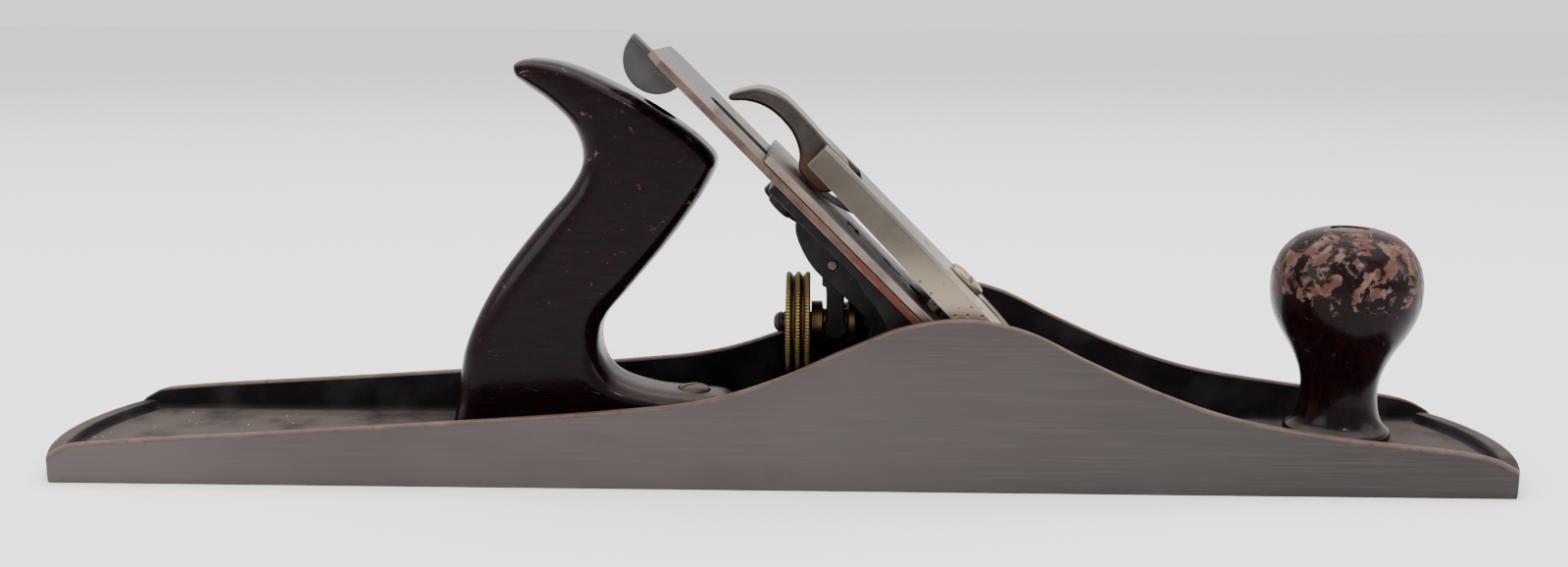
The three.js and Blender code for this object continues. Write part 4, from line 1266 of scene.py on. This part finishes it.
def cap_shell():
    """The outside of the lever cap: sections along the bed with rounded shoulders."""
    stations = np.concatenate([[6.5, 6.8], np.linspace(8, 124.2, 70), [124.8, 125]])
    points, faces = [], []
    turns = np.radians([0, 22.5, 45, 67.5, 90])
    for s in stations:
        pinch = 0.35 * max(0, 1 - min(s - stations[0], stations[-1] - s) / 0.3)
        half = np.interp(s, *zip(*CAP_PLAN)) - pinch
        top = np.interp(s, CAP_LINE[:, 0], CAP_LINE[:, 1]) - pinch
        under = np.interp(s, *zip(*CAP_UNDER)) + pinch * 0.5
        r = min(CAP_SHOULDER, 0.45 * (top - under))
        side = [(half, under)]
        side += [(half - r + r * math.cos(a), top - r + r * math.sin(a)) for a in turns]
        ring = [(s, y, t) for y, t in side] + [(s, -y, t) for y, t in reversed(side)]
        points += ring
    n = len(ring)
    for i in range(len(stations) - 1):
        for j in range(n):
            k = (j + 1) % n
            a, b = i * n, (i + 1) * n
            faces.append((a + j, b + j, b + k, a + k))
    faces.append(tuple(range(n)))
    faces.append(tuple((len(stations) - 1) * n + j for j in reversed(range(n))))
    return piece("cap", points, faces, BED)


def lever_cap():
    """The lever cap: hollow underneath, with a keyhole and a notch for the cam lever."""
    cap = cap_shell()
    hollow = slab("hollow", [(24, 0), (140, 0), (140, CAP_TOP - CAP_WALL), (52, 17.8 - CAP_WALL),
                             (36, 16.9 - CAP_WALL), (24, 12)], -40, 40, 0, bed=True)
    half = [(15.5, 26), (50, 26), (114, 20), (140, 18)]
    plan = [(s, -y) for s, y in half] + half[::-1]
    combine(hollow, [plate("plan", eased(plan, 2.5), -5, 30, 0, BED)], "INTERSECT")
    cut(cap, hollow, plate("keyhole", slot_loop(50, CAP_SCREW_S, 3.9), 10, 30, 0, BED),
        drill(48, 0, 7.5, 10, 30, BED, 48), block(109.5, 140, -14, 14, 5, 30, BED),
        block(121, 140, -16, 16, 0, 30, BED),
        drill(*CAM_PIVOT, 2.4, -PIN_HALF - GAP, PIN_HALF + GAP, BED_SIDE),
        drill(SPRING_RIVET_S, 0, PIN_BORE, 10, 30, BED))
    show(cap, "lever_cap", NICKEL, sharp=32)


HOOK = [(112.6, 12.6, 0.9), (112.8, 15.8, 0.9), (115, 18, 0.9), (124, 18.5, 1.2), (131, 18.9, 1.4),
        (138.7, 19.1, 1.5), (143.8, 18.8, 1.5), (147.6, 17.6, 1.5), (151.3, 15.2, 1.4),
        (153.8, 11.8, 1.2), (155.9, 7.6, 0.7), (154.8, 6.7, 0.7), (151.2, 9.8, 1.1),
        (147.9, 11.9, 1.4), (143.7, 13.3, 1.5), (138.7, 13.6, 1.5), (134.5, 13.1, 1.5),
        (130.5, 11.5, 1.4), (128.1, 9.8, 1.2), (126.4, 7.8, 1.0), (125, 6.6, 0.9),
        (122.6, 6.2, 0.9), (117, 6.2, 0.9), (114.6, 7.4, 0.9), (113.2, 9.6, 0.9)]
HOOK_HALF, HOOK_ROUNDING = 12.5, 1.2


def cam_lever():
    shape = curve(HOOK, 5, closed=True)
    obj = pillow("hook", shape, HOOK_HALF, HOOK_ROUNDING, 2.5, BED_SIDE)
    cut(obj, drill(*CAM_PIVOT, 2.4, -20, 20, BED_SIDE))
    show(obj, "cam_lever", HOOK_STEEL, sharp=42)
    pin = turned("pin", rod_profile(2.1, -PIN_HALF, PIN_HALF, 0.3), 32, BED_SIDE @ upright(*CAM_PIVOT))
    show(pin, "cam_lever_pin", DARK_STEEL)


def cap_spring():
    line = curve([(74, 14.4), (86, 14.1), (94, 12.2), (101, 9.6), (108, 7.2), (114, 5.8), (122, 5.3)], 6)
    outline = np.vstack([line, (line + (0, LEAF_THICK))[::-1]])
    leaf = slab("leaf", outline, -9, 9, 0.15, bed=True)
    cut(leaf, drill(SPRING_RIVET_S, 0, PIN_BORE, 10, 20, BED))
    show(leaf, "lever_cap_spring", DARK_STEEL, sharp=32)
    rivet = [(0, 12.6), (2.2, 12.7), (3, 13.1), (3, 13.9), (1.5, 13.9), (1.5, 17.3), (1.2, 17.6), (0, 17.6)]
    show(turned("rivet", rivet, 32, BED @ upright(SPRING_RIVET_S, 0)), "spring_rivet", DARK_STEEL)


def cap_screw():
    at = BED @ upright(CAP_SCREW_S, 0, 18.3)
    screw = slotted_screw("screw", at, 6.35, 2.6, 3.15, 29.3, 1.3, 90)
    show(screw, "lever_cap_screw", NICKEL)


lever_cap()
cam_lever()
cap_spring()
cap_screw()


# ---------------------------------------------------------------- floor, light and camera
def floor():
    p = Paint("studio_floor", 0.0, 0.6)
    p.ground(p.noise(260, 3), (0.87, 0.87, 0.88), (0.90, 0.90, 0.905))
    p.bump((p.noise(9, 3), 0.02))
    side = 12000
    obj = plate("studio_floor", rectangle(-side, side, -side, side), -2, 0, 0)
    obj.data.materials.append(p.material)


def area_light(name, place, target, size, power, color=(1, 1, 1)):
    data = bpy.data.lights.new(name, "AREA")
    data.shape = "RECTANGLE"
    data.size, data.size_y = size
    data.energy = power
    data.color = color
    lamp = bpy.data.objects.new(name, data)
    lamp.location = place
    lamp.rotation_euler = (Vector(target) - Vector(place)).to_track_quat("-Z", "Y").to_euler()
    bpy.context.scene.collection.objects.link(lamp)


def lighting():
    area_light("overhead", (0.0, 0.15, 1.5), (0, 0.05, 0), (2.6, 1.8), 50)
    area_light("left", (-1.5, -0.7, 0.9), (0, 0, 0.04), (1.2, 0.9), 18, (1, 0.985, 0.96))
    area_light("right", (1.6, -0.4, 0.9), (0.05, 0, 0.04), (1.0, 0.9), 10)
    area_light("window", (0.31, -0.79, 0.96), (0.177, 0, 0.06), (0.14, 0.14), 3.7)
    world = bpy.data.worlds.new("studio")
    world.use_nodes = True
    shade = world.node_tree.nodes["Background"]
    shade.inputs["Color"].default_value = (0.90, 0.892, 0.88, 1)
    shade.inputs["Strength"].default_value = 1.5
    bpy.context.scene.world = world


CAMERA_PLACE = (0.0115, -0.4621, 0.1398)
CAMERA_TURNS = (1.221, 10.259, 0.265)
LENS = 34.28


def camera():
    """The viewing angle: a little above the handles, looking slightly down, almost side on."""
    yaw, pitch, roll = (math.radians(turn) for turn in CAMERA_TURNS)
    across = Vector((math.cos(yaw), math.sin(yaw), 0))
    ahead = Vector((-math.sin(yaw), math.cos(yaw), 0))
    forward = math.cos(pitch) * ahead - math.sin(pitch) * Vector((0, 0, 1))
    above = math.sin(pitch) * ahead + math.cos(pitch) * Vector((0, 0, 1))
    right = math.cos(roll) * across + math.sin(roll) * above
    top = -math.sin(roll) * across + math.cos(roll) * above
    data = bpy.data.cameras.new("camera")
    data.lens = LENS
    data.sensor_width = 36
    obj = bpy.data.objects.new("camera", data)
    obj.matrix_world = axes(right, top, -forward, CAMERA_PLACE)
    bpy.context.scene.collection.objects.link(obj)
    bpy.context.scene.camera = obj


floor()
lighting()
camera()
